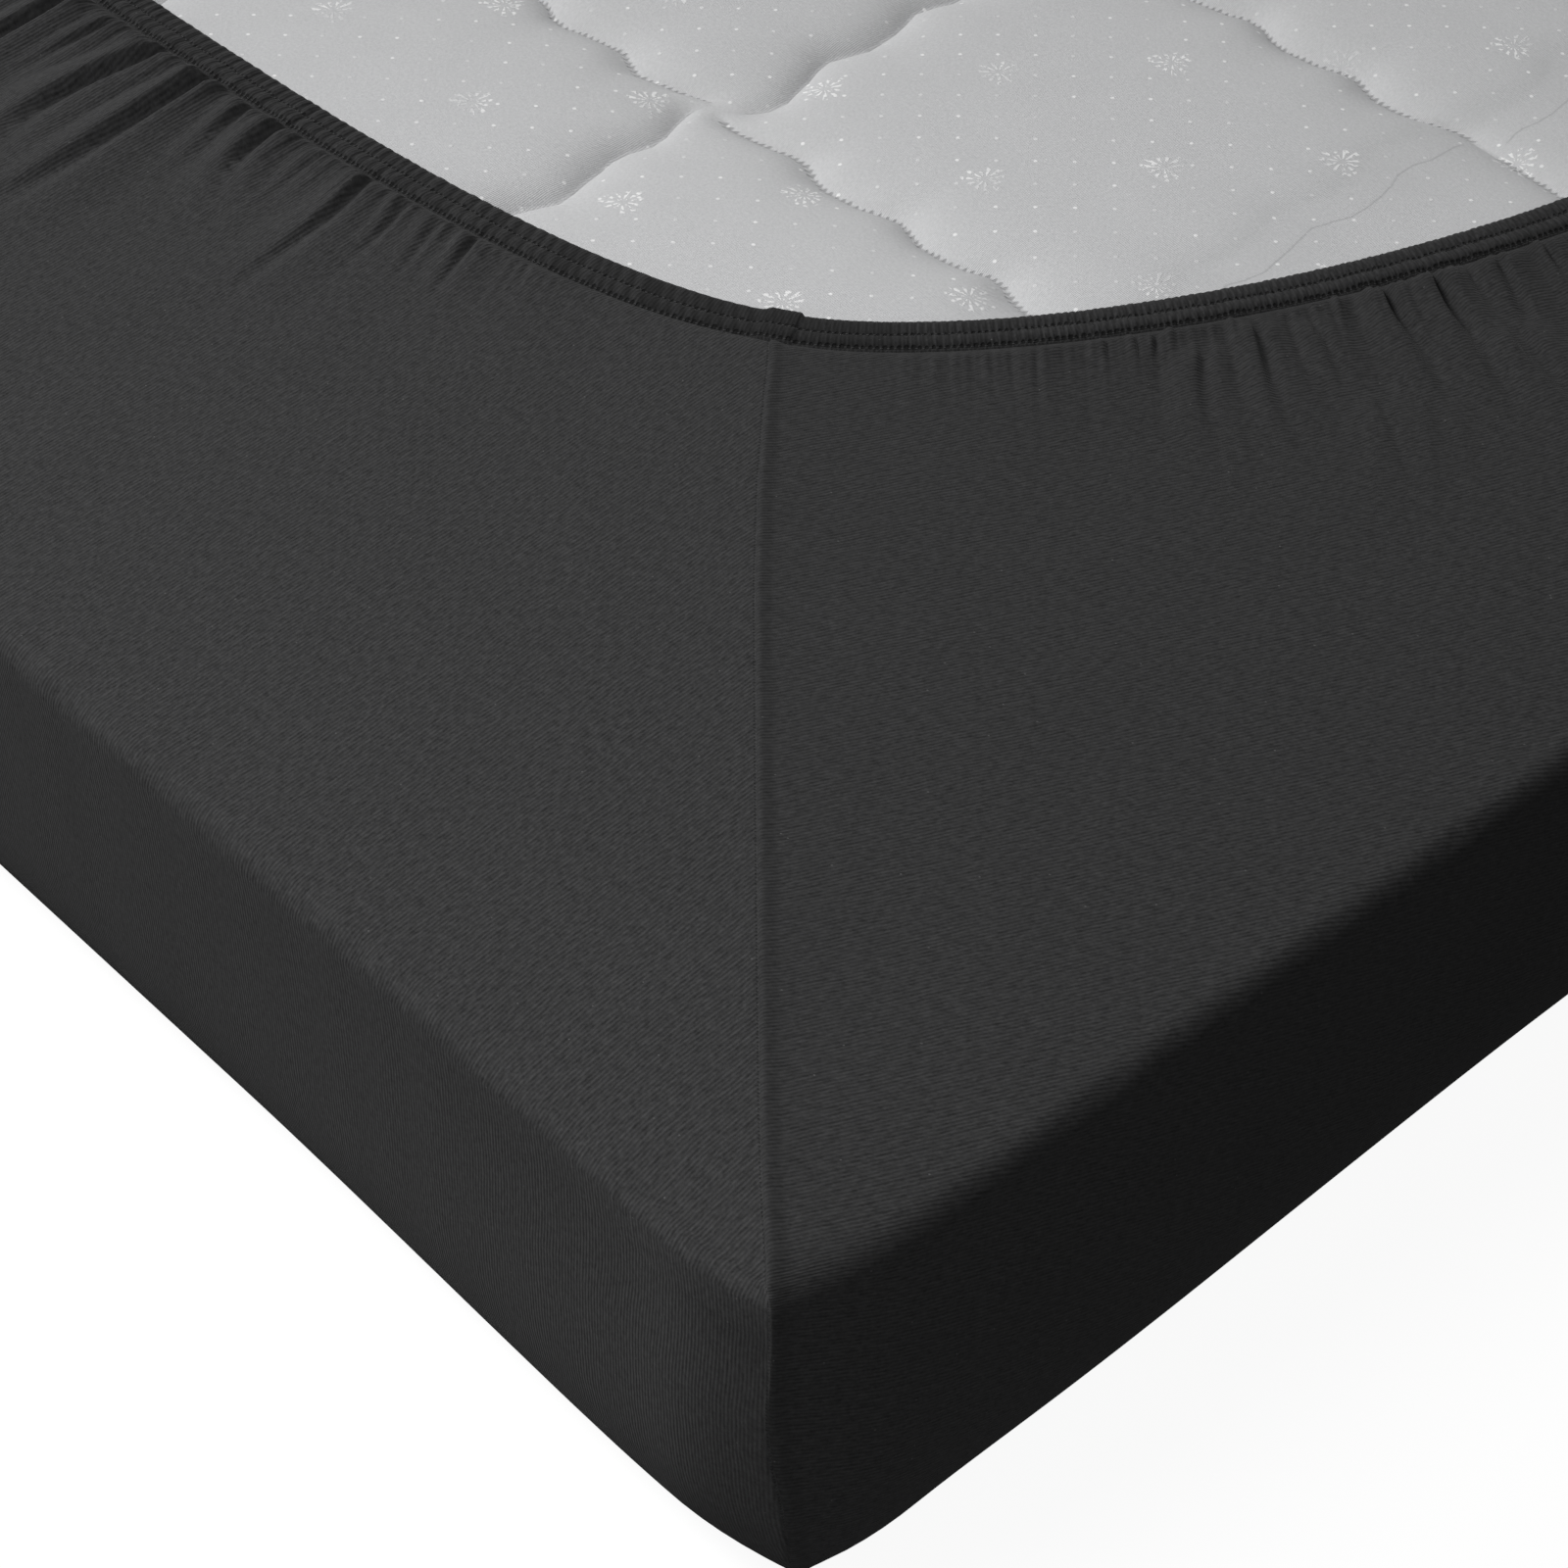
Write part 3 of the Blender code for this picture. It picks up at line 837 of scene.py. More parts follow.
@dataclass(frozen=True)
class Wrinkle:
    """A thin isolated wrinkle on the turn-in by the corner at -X -Y, from one place to another."""

    start: Span
    end: Span
    height: float = 0.0006
    width: float = 0.0011
    taper: float = 0.6

    def at(self, along: Array, across: Array) -> Array:
        """Its height at these places.

        Args:
            along: distances from the short edge.
            across: distances from the long edge.

        Returns:
            The heights.
        """
        line = np.array(self.end) - self.start
        places = np.column_stack((along, across)) - self.start
        share = np.clip(places @ line / (line @ line), 0.0, 1.0)
        away = np.linalg.norm(places - share[:, None] * line, axis=1)
        return self.height * bell(away, self.width) * np.sin(np.pi * share) ** self.taper


# ---- Meshes ----


class Loft:
    """A surface of closed rings, each joined to the next one."""

    def __init__(self, block: WrappedBlock) -> None:
        """Starts a surface round this block.

        Args:
            block: the wrapped block.
        """
        self.halves = list(block.half_sides())
        self.places: list[Array] = []
        self.rings: list[list[Array]] = []

    def add(self, strips: Sequence[tuple[Array, Sequence[Array]]]) -> None:
        """Adds a ring round the part.

        Args:
            strips: for each half side its places from the seam, 0, to mid-side, 1, and its points
                and maps there.
        """
        places, layers = [], []
        for half, (shares, strip) in zip(self.halves, strips):
            order = slice(None, 0, -1) if half.to_seam else slice(None, -1)
            place = half.number + 1 - shares if half.to_seam else half.number + shares
            places.append(place[order])
            layers.append([layer[order] for layer in strip])
        self.places.append(np.concatenate(places))
        self.rings.append([np.vstack(layer) for layer in zip(*layers)])

    def layer(self, number: int) -> Array:
        """One layer of all the rings, in vertex order."""
        return np.vstack([ring[number] for ring in self.rings])

    def faces(self) -> tuple[list[list[int]], Array]:
        """The faces between the rings.

        Returns:
            Each face's vertex numbers, and its place round the part.
        """
        faces: list[list[int]] = []
        middles: list[float] = []
        base = 0
        for lower, upper in zip(self.places, self.places[1:]):
            above = base + len(lower)
            if len(lower) == len(upper) and np.allclose(lower, upper):
                here = np.arange(len(lower))
                after = np.roll(here, -1)
                quads = np.column_stack((base + here, base + after, above + after, above + here))
                faces += quads.tolist()
                middles += ((lower + np.append(lower[1:], lower[0] + 8)) / 2).tolist()
            else:
                self._zip(lower, upper, base, above, faces, middles)
            base = above
        return faces, np.array(middles)

    @staticmethod
    def _zip(lower: Array, upper: Array, base: int, above: int,
             faces: list[list[int]], middles: list[float]) -> None:
        """Joins two rings that have unlike numbers of points.

        Args:
            lower: the lower ring's places round the part.
            upper: the upper ring's.
            base: the lower ring's first vertex.
            above: the upper ring's first vertex.
            faces: the faces made so far, added to here.
            middles: their places round the part, added to here.
        """
        low = lower.tolist() + [lower[0] + 8]
        high = upper.tolist() + [upper[0] + 8]
        i = j = 0
        while i < len(lower) or j < len(upper):
            low_next = low[i + 1] if i < len(lower) else math.inf
            high_next = high[j + 1] if j < len(upper) else math.inf
            here, there = base + i % len(lower), above + j % len(upper)
            here_after, there_after = base + (i + 1) % len(lower), above + (j + 1) % len(upper)
            if abs(low_next - high_next) < 1e-7:
                faces.append([here, here_after, there_after, there])
                middles.append((low[i] + low_next) / 2)
                i += 1
                j += 1
            elif low_next < high_next:
                faces.append([here, here_after, there])
                middles.append((low[i] + low_next) / 2)
                i += 1
            else:
                faces.append([here, there_after, there])
                middles.append((high[j] + high_next) / 2)
                j += 1


def put_in_scene(name: str, data: bpy.types.ID) -> Piece:
    """Makes an object of a mesh, light or camera, and puts it in the scene.

    Args:
        name: its name.
        data: the mesh, light or camera.

    Returns:
        The object.
    """
    made = bpy.data.objects.new(name, data)
    bpy.context.scene.collection.objects.link(made)
    return made


def new_piece(name: str, points: Array, faces: Sequence[Sequence[int]],
              materials: Sequence[Material]) -> Piece:
    """Makes a smooth mesh object in the scene.

    Args:
        name: the object's name.
        points: the vertices.
        faces: each face's vertex numbers.
        materials: the materials of its slots.

    Returns:
        The new object.
    """
    mesh = bpy.data.meshes.new(name)
    mesh.from_pydata(points.tolist(), [], faces)
    for material in materials:
        mesh.materials.append(material)
    mesh.shade_smooth()
    return put_in_scene(name, mesh)


def add_map(made: Piece, name: str, corner_values: Array) -> None:
    """Adds a UV map that holds a pair of values for each face corner."""
    layer = made.data.uv_layers.new(name=name)
    layer.data.foreach_set("uv", corner_values.astype(np.float32).ravel())


def corner_vertices(made: Piece) -> tuple[Array, Array]:
    """Which vertex and which face each face corner belongs to.

    Args:
        made: the mesh object.

    Returns:
        The vertices' numbers and the faces' numbers.
    """
    mesh = made.data
    vertices = np.empty(len(mesh.loops), dtype=np.int32)
    mesh.loops.foreach_get("vertex_index", vertices)
    totals = np.empty(len(mesh.polygons), dtype=np.int32)
    mesh.polygons.foreach_get("loop_total", totals)
    return vertices, np.repeat(np.arange(len(totals)), totals)


@dataclass
class FittedSheet:
    """The sheet's cloth up to its hem: one surface, a panel by each side and four corner seams."""

    block: WrappedBlock
    folds: HemFolds
    undulation: Undulation
    edge: EdgeShape
    seam: SeamPath
    # how far from the seam the columns by it lie
    seam_columns: dict[Side, tuple[float, ...]] = by_side(
        (0.0, 0.0004, 0.0018, 0.0040, 0.0075),
        (0.0, 0.0003, 0.0007, 0.0012, 0.0022, 0.0034, 0.0045, 0.0060))
    # columns: distance from the seam line, towards the short side, and the cloth's rise there
    seam_profile: Table = (
        (-0.0018, 0.0), (-0.0004, -0.0001), (0.0, -0.0001), (0.0003, 0.0004), (0.0007, 0.00065),
        (0.0012, 0.0007), (0.0022, 0.00055), (0.0034, 0.0003), (0.0045, 0.00008), (0.0060, 0.0),
    )
    seam_blend: float = 0.004
    wall_seam: float = 0.4
    edge_step: float = 0.0058
    near_step: float = 0.00062
    far_step: float = 0.00240
    near_limit: float = 0.600
    first_run: float = 0.0115
    first_along: float = 0.014
    round_steps: tuple[int, int] = (7, 6)
    wall_steps: int = 5
    # columns: distance from the hem's edge, and the flat cloth's height there
    under_band: Table = (
        (0.0122, -0.0010), (0.0134, -0.0006), (0.0142, 0.0000), (0.0150, 0.0003),
        (0.0160, 0.0005), (0.0220, 0.0005), (0.0600, 0.0001), (0.1500, 0.0000),
    )
    ring_distances: tuple[float, ...] = (
        0.0122, 0.0134, 0.0142, 0.0149, 0.0156, 0.0165, 0.0175, 0.0188, 0.0204, 0.0225, 0.0250,
        0.0280, 0.0318, 0.0362, 0.0412, 0.0467, 0.0528, 0.0600, 0.0680, 0.0770, 0.0870, 0.0980,
        0.1100, 0.1230, 0.1370, 0.1500,
    )
    # how far from the gathered part to the outer edge the plain rings lie
    plain_rings: tuple[float, ...] = (1.0, 0.985, 0.965, 0.935, 0.88, 0.78, 0.60, 0.40, 0.20)
    gathered_share: float = 0.86
    turn_in_wave: float = 0.00025
    wave_start: float = 0.03
    skew: float = 0.46
    tilt: float = 0.09
    tilt_reach: float = 0.3
    wrinkles: tuple[Wrinkle, ...] = (
        Wrinkle((0.125, 0.3286), (0.105, 0.3166)),
        Wrinkle((0.116, 0.3166), (0.092, 0.2896)),
        Wrinkle((0.143, 0.2976), (0.126, 0.2666)),
    )

    def _edge_columns(self) -> Iterator[Array]:
        """Shares of even columns along the outer edge, for the sleeping face and the walls.

        Yields:
            Each half side's shares.
        """
        for half in self.block.half_sides():
            end = self.block.shapes[half.side].half
            count = round((end - self.first_along) / self.edge_step)
            along = np.linspace(self.first_along, end, count + 1)[:-1]
            yield np.append(self.block.share_from_edge(half.side, along), 1.0)

    def _hem_columns(self) -> Iterator[Array]:
        """Shares of columns along the hem, closest by the corner at -X -Y.

        Yields:
            Each half side's shares.
        """
        for half in self.block.half_sides():
            near_end = self.block.run_at(half.side, self.near_limit) if half.is_charted else 0.0
            runs = uneven_steps(self.first_run, near_end, self.block.hem_length(half.side),
                                self.near_step, self.far_step)
            yield np.append(self.block.share_at_run(half.side, runs), 1.0)

    def _strip(self, half: HalfSide, shares: Array, ring: RingPlace,
               locate: Callable[[Array], tuple[Array, Array]],
               shape: Callable[[Array, Array], tuple[Array, Array]]) -> tuple[Array, list[Array]]:
        """A half side's part of a ring.

        Args:
            half: the half side.
            shares: its columns beyond those by the seam.
            ring: where the ring lies.
            locate: gives the (forward, inward) places of shares, and their plan normals.
            shape: gives the height over the plain form, and the painted shade, of shares at their
                places.

        Returns:
            The columns' places from the seam, and the points with their maps: on the long panel's
            cut and on the short one's, by the seam, and the painted shade of the gathers.
        """
        by_seam = np.array(self.seam_columns[half.side])
        nominal = np.concatenate((by_seam * 0.1, shares))
        sign = -1.0 if half.is_long else 1.0
        away = np.concatenate((by_seam * sign, np.full(len(shares), sign * 0.05)))
        probe = 1e-4
        ends, _ = locate(np.array([0.0, probe]))
        speed = np.linalg.norm(ends[1] - ends[0]) / probe
        shares = np.concatenate((by_seam / speed, shares))
        places, plan_normals = locate(shares)
        places = self.seam.shift(half, places, ring)
        diagonal = np.full(plan_normals.shape, -math.sqrt(0.5))
        near = smooth(np.abs(away) / self.seam_blend)
        plan_normals = unit(blend(diagonal, plan_normals, near))
        points = self.block.in_world(half, places, ring.height)
        upward = math.sin(ring.slope)
        sideways = self.block.world_direction(half, plan_normals) * math.cos(ring.slope)
        normals = sideways + np.array((0.0, 0.0, upward))
        seam_share = self.wall_seam + (1.0 - self.wall_seam) * max(upward, 0.0)
        seam_rise = look_up(self.seam_profile, away) * (0.0 if ring.height == 0.0 else seam_share)
        height, shade = shape(shares, places)
        seam_length = ring.arc + math.sqrt(2) * (places[0].mean() - ring.inset) * upward
        return nominal, [points + normals * (seam_rise + height)[:, None],
                         *self._cut_places(half, ring, places, points[:, :2]),
                         np.column_stack((np.full(len(away), seam_length), away)),
                         np.column_stack((shade, 0.0 * shade))]

    def _cut_places(self, half: HalfSide, ring: RingPlace, places: Array,
                    points: Array) -> tuple[Array, Array]:
        """Where points lie on the flat cut.

        Args:
            half: the half side.
            ring: the ring.
            places: the points' (forward, inward) places.
            points: the points in the world.

        Returns:
            Their places on the long side's panel and on the short side's.
        """
        along, across = self.block.along_across(half, places)
        lean = math.sin(ring.slope)
        flat = ring.arc - self.block.lower_round[0]
        out_long = self.block.width / 2 + flat + (across - ring.inset) * lean
        out_short = self.block.length / 2 + flat + (along - ring.inset) * lean
        # the knit's lines lean on both panels, and run straight by mid-side
        skewed = out_short + self.skew * across * (1.0 - (2.0 * across) ** 4 / 5.0)
        tilted = points[:, 1] + half.corner[1] * self.tilt * np.minimum(across, self.tilt_reach)
        return (np.column_stack((half.corner[0] * out_long, tilted)),
                np.column_stack((points[:, 0], half.corner[1] * skewed)))

    def _wrapped(self, half: HalfSide, shares: Array, ring: RingPlace) -> tuple[Array, list[Array]]:
        """A half side's part of a ring round the block, made as a strip is.

        Args:
            half: the half side.
            shares: its columns.
            ring: the ring.

        Returns:
            The strip.
        """
        return self._strip(half, shares, ring,
                           lambda at: self.block.outline(half.side, at, ring.inset),
                           lambda at, places: (self.edge.on_round(half, places[:, 0], ring), 0.0 * at))

    def _turned_in(self, half: HalfSide, shares: Array, ring: RingPlace, distance: float,
                   beyond: float) -> tuple[Array, list[Array]]:
        """A half side's part of a ring on the turn-in.

        Args:
            half: the half side.
            shares: its columns.
            ring: the turn-in's own place on the block.
            distance: the ring's distance from the hem's edge, within the gathered part.
            beyond: how far the ring lies from the gathered part's rim to the outer edge, 0 to 1.

        Returns:
            The strip.
        """
        block, folds = self.block, self.folds

        def locate(at: Array) -> tuple[Array, Array]:
            """Places on the lines from the hem to the outer edge, drawn in where they are short.

            Args:
                at: shares of the hem.

            Returns:
                The places and their plan normals.
            """
            hem, normals, _ = block.hem_at(half.side, at)
            if distance <= folds.band:
                return hem + normals * distance, normals
            inner = hem + normals * folds.band
            outer, outward = block.outline(half.side, at, block.upper_round)
            length = np.linalg.norm(outer - inner, axis=1)
            reach = self.ring_distances[-1] - folds.band
            shrink = np.minimum(1.0, self.gathered_share * length / reach)
            share = (distance - folds.band) * shrink / length
            return blend(inner, outer, share + (1.0 - share) * beyond), outward

        def shape(at: Array, places: Array) -> tuple[Array, Array]:
            """Heights of folds, gathers, wrinkles and waves at these places, and the gathers' painted
            shade.

            Args:
                at: shares of the hem.
                places: their (forward, inward) places.

            Returns:
                The heights and the painted shade.
            """
            points = block.in_world(half, places, 0.0)
            wave = smooth((distance - folds.band) / self.wave_start) * (1.0 - beyond ** 6)
            total = self.turn_in_wave * self.undulation.at(points) * wave
            total = total + look_up(self.under_band, distance) * (1.0 - beyond)
            total = total + self.edge.on_turn_in(half, places[:, 0], places[:, 1] - block.upper_round)
            shade = np.zeros(len(at))
            if beyond == 0.0:
                around = folds.around(half, block.hem_at(half.side, at)[2])
                total = total + folds.relief(around, np.full(len(around), distance))
                # painted shade of the gathers' valleys, carried to the panels' colour
                shade = folds.painted_valley_shade(around, distance)
            if half.corner == (-1, -1):
                for wrinkle in self.wrinkles:
                    total = total + wrinkle.at(*block.along_across(half, places))
            return total, shade

        return self._strip(half, shares, ring, locate, shape)

    def build(self, panels: Sequence[Material]) -> Piece:
        """Builds the cloth.

        Args:
            panels: the materials of the long side panels and of the short side panels.

        Returns:
            The sheet's object.
        """
        block = self.block
        halves = list(block.half_sides())
        edge_columns, hem_columns = list(self._edge_columns()), list(self._hem_columns())
        rings = block.profile(self.round_steps[0], self.wall_steps, self.round_steps[1])
        level = RingPlace(rings[-1].arc, block.upper_round, math.pi / 2, block.height, turned_in=True)
        loft = Loft(block)
        for ring in rings[:-1]:
            loft.add([self._wrapped(*pair, ring) for pair in zip(halves, edge_columns)])
        turned = [(edge_columns, self.ring_distances[-1], beyond) for beyond in self.plain_rings]
        turned += [(hem_columns, distance, 0.0) for distance in reversed(self.ring_distances)]
        for columns, distance, beyond in turned:
            loft.add([self._turned_in(*pair, level, distance, beyond)
                      for pair in zip(halves, columns)])
        faces, middles = loft.faces()
        faces.append(list(range(len(loft.places[0])))[::-1])
        made = new_piece("fitted_sheet_cloth", loft.layer(0), faces, panels)
        is_short = np.array([not half.is_long for half in halves])[middles.astype(int) % 8]
        is_short = np.append(is_short, False)
        made.data.polygons.foreach_set("material_index", is_short.astype(np.int32))
        vertices, owners = corner_vertices(made)
        cut = np.where(is_short[owners][:, None], loft.layer(2)[vertices], loft.layer(1)[vertices])
        add_map(made, "cloth_cut", cut)
        add_map(made, "seam_run", loft.layer(3)[vertices])
        # painted shade in the gathers, which darkens the panels' colour
        add_map(made, "painted_gather_shade", loft.layer(4)[vertices])
        made.data.update()
        return made


@dataclass
class HemBand:
    """The hem: cloth turned over an elastic, ribbed, and held by two rows of stitches."""

    block: WrappedBlock
    folds: HemFolds
    # columns: distance from the edge, height over the turn-in, share of the ribs, of the folds
    section: Table = (
        (0.0030, -0.0013, 0.0, 0.00), (0.0010, -0.0016, 0.0, 0.00), (0.0003, -0.0013, 0.0, 0.00),
        (0.0000, -0.0006, 0.05, 0.00), (0.0003, 0.0001, 0.12, 0.00), (0.0010, 0.0006, 0.40, 0.02),
        (0.0021, 0.0008, 0.85, 0.04), (0.0036, 0.0009, 1.0, 0.06), (0.0055, 0.0009, 1.0, 0.08),
        (0.0070, 0.0008, 0.8, 0.09), (0.0077, 0.0006, 0.5, 0.10), (0.0084, 0.0008, 0.6, 0.11),
        (0.0093, 0.0009, 0.65, 0.13), (0.0104, 0.0010, 0.65, 0.15), (0.0114, 0.0009, 0.6, 0.17),
        (0.0122, 0.0006, 0.5, 0.18), (0.0130, 0.0001, 0.2, 0.18), (0.0137, 0.0001, 0.2, 0.18),
        (0.0144, -0.0010, 0.0, 0.10),
    )
    edge_row: int = 3
    # columns: run from the seam, and the band's width there as a share of its usual width
    widths: dict[Side, Table] = by_side(
        ((0.0, 0.99), (0.030, 1.07), (0.120, 1.09), (0.250, 1.08)),
        ((0.0, 0.99), (0.020, 0.98), (0.080, 1.03), (0.160, 1.07)))
    near_step: float = 0.00045
    far_step: float = 0.00180
    near_limit: float = 0.600
    # how far out from the band the folds are read that lift it
    fold_probe: float = 0.008
    # how far the ribs and the folds beyond them may slant from the hem's own normal
    slant_limits: Span = (0.3, 0.8)
    edge_rib: float = 0.20
    edge_rib_reach: float = 0.002
    # how far the gathered edge is drawn back, and over what part of the band
    edge_inset: float = 0.0012
    inset_reach: float = 0.0060
    # the seam's turned-in end: how wide it is and fades out on the short side, how soon it fades
    # out on the long side, how far it juts over the edge, how far in, and how far it stands up
    bump_width: float = 0.0085
    bump_end: float = 0.0012
    bump_fade: float = 0.004
    bump_jut: float = 0.0006
    bump_reach: float = 0.008
    bump_rise: float = 0.0008
    bump_least: float = -0.0005
    # ribs lower than this leave a groove, which the hem's colour darkens as painted shade
    groove_depth: float = 0.00075
    stitch_pitch: float = 0.00178
    stitch_rows: Span = (0.0077, 0.0130)
    pit_radii: Span = (0.00064, 0.00080)
    stitch_length: float = 0.00105
    stitch_width: float = 0.00034
    stitch_lift: float = 0.00010
    # a stitch's outline: places along it and its half width there, both as shares
    stitch_outline: Table = ((-0.5, 0.0), (-0.28, 0.5), (0.28, 0.5), (0.5, 0.0))
    stitch_sides: int = 4
    stitch_probe: float = 0.0004

    def build(self, material: Material) -> Piece:
        """Builds the band, from its underside over the edge to the outer stitching.

        Args:
            material: its finish.

        Returns:
            The hem's object.
        """
        loft = Loft(self.block)
        total = self.folds.total
        for row in self.section[::-1]:
            loft.add([self._strip(half, *row) for half in loft.halves])
        faces, middles = loft.faces()
        made = new_piece("fitted_sheet_hem", loft.layer(0), faces, [material])
        vertices, owners = corner_vertices(made)
        hem_run = loft.layer(1)[vertices]
        wrapped = (middles > 7.0)[owners] & (hem_run[:, 0] < total / 8)
        hem_run[wrapped, 0] += total
        add_map(made, "hem_run", hem_run)
        add_map(made, "hem_ribs", loft.layer(2)[vertices])
        made.data.update()
        self.rows = {row[0]: (ring[0], ring[1][:, 0])
                     for row, ring in zip(self.section, loft.rings[::-1])}
        return made

    def _strip(self, half: HalfSide, distance: float, height: float, rib_share: float,
               fold_share: float) -> tuple[Array, list[Array]]:
        """A half side's part of one row of the section.

        Args:
            half: the half side.
            distance: the row's distance from the edge.
            height: its height over the turn-in.
            rib_share: how much of the ribs shows there.
            fold_share: how much of the folds shows there.

        Returns:
            Its places from the seam, and its points, runs round the hem and grooves for painted shade.
        """
        block, folds = self.block, self.folds
        total = block.hem_length(half.side)
        near_end = block.run_at(half.side, self.near_limit) if half.is_charted else 0.0
        run = np.append(uneven_steps(0.0, near_end, total, self.near_step, self.far_step), total)
        shares = block.share_at_run(half.side, run)
        hem, normals, _ = block.hem_at(half.side, shares)
        lines = unit(block.outline(half.side, shares, block.upper_round)[0] - hem)
        tangents = np.column_stack((-normals[:, 1], normals[:, 0]))
        least, most = self.slant_limits
        slant = np.clip(np.sum(lines * tangents, axis=1)
                        / np.maximum(np.sum(lines * normals, axis=1), least), -most, most)
        around = folds.around(half, run)
        whole_rib = folds.rib_height(half.side,
                                     around + slant * distance * (1.0 if half.to_seam else -1.0))
        rib = whole_rib * rib_share
        fold = folds.relief(around, np.full(len(run), folds.band + self.fold_probe)) * fold_share
        bump = smooth(1.0 - run / self.bump_fade)
        if not half.is_long:
            bump = smooth((self.bump_width - run) / self.bump_end)
        inside = distance * look_up(self.widths[half.side], run)
        drawn_back = self.edge_inset * folds.calm(around % folds.total)
        inside = inside + drawn_back * max(0.0, 1.0 - distance / self.inset_reach)
        if distance < self.edge_rib_reach:
            inside = inside - self.edge_rib * rib
        inside = inside - bump * self.bump_jut * smooth(1.0 - distance / self.bump_reach)
        up = height + rib + fold + bump * (self.bump_rise if height > self.bump_least else 0.0)
        points = block.in_world(half, hem + normals * inside[:, None], block.height + up)
        shown = smooth(rib_share / 0.5) if height > self.section[self.edge_row][1] else 0.0
        return run / total, [points, np.column_stack((around, np.full(len(run), distance))),
                             np.column_stack((1.0 - whole_rib / self.groove_depth,
                                              np.full(len(run), shown)))]

    def _bead(self) -> tuple[Array, list[list[int]]]:
        """One stitch as a small rounded bead.

        Returns:
            Its points along, across and up from its middle, and its faces.
        """
        sides = self.stitch_sides
        points = []
        for along, wide in self.stitch_outline:
            turns = np.arange(sides if wide else 1) * 2 * math.pi / sides
            points += [(along, wide * math.cos(turn), wide * math.sin(turn)) for turn in turns]
        last = len(points) - 1
        faces = []
        for k in range(sides):
            after = (k + 1) % sides
            faces += [[1 + k, 1 + after, 0],
                      [1 + sides + k, 1 + sides + after, 1 + after, 1 + k],
                      [last, 1 + sides + after, 1 + sides + k]]
        return np.array(points) * (self.stitch_length, self.stitch_width, self.stitch_width), faces

    def build_stitches(self, material: Material) -> Piece:
        """Builds every stitch of both rows, as one mesh.

        Args:
            material: the thread's finish.

        Returns:
            The stitches' object.
        """
        total = self.folds.total
        count = round(total / self.stitch_pitch)
        middles = np.arange(count) * total / count
        bead, shell = self._bead()
        points, faces = [], []
        for number, row in enumerate(self.stitch_rows):
            ring, around = self.rows[min(self.rows, key=lambda distance: abs(distance - row))]
            order = np.argsort(around % total)
            around, ring = around[order] % total, ring[order]
            spots, ahead = (np.column_stack([np.interp(runs, around, axis, period=total)
                                             for axis in ring.T])
                            for runs in (middles, middles + self.stitch_probe))
            forward = unit(ahead - spots)
            across = unit(np.cross(forward, (0.0, 0.0, 1.0)))
            up = np.cross(across, forward)
            beads = np.einsum("pc,kcd->kpd", bead, np.stack((forward, across, up), axis=1))
            beads += (spots + up * self.stitch_lift)[:, None, :]
            points.append(beads.reshape(-1, 3))
            firsts = (np.arange(count) + number * count) * len(bead)
            faces += [[int(first) + place for place in face] for first in firsts for face in shell]
        return new_piece("fitted_sheet_stitches", np.vstack(points), faces, [material])


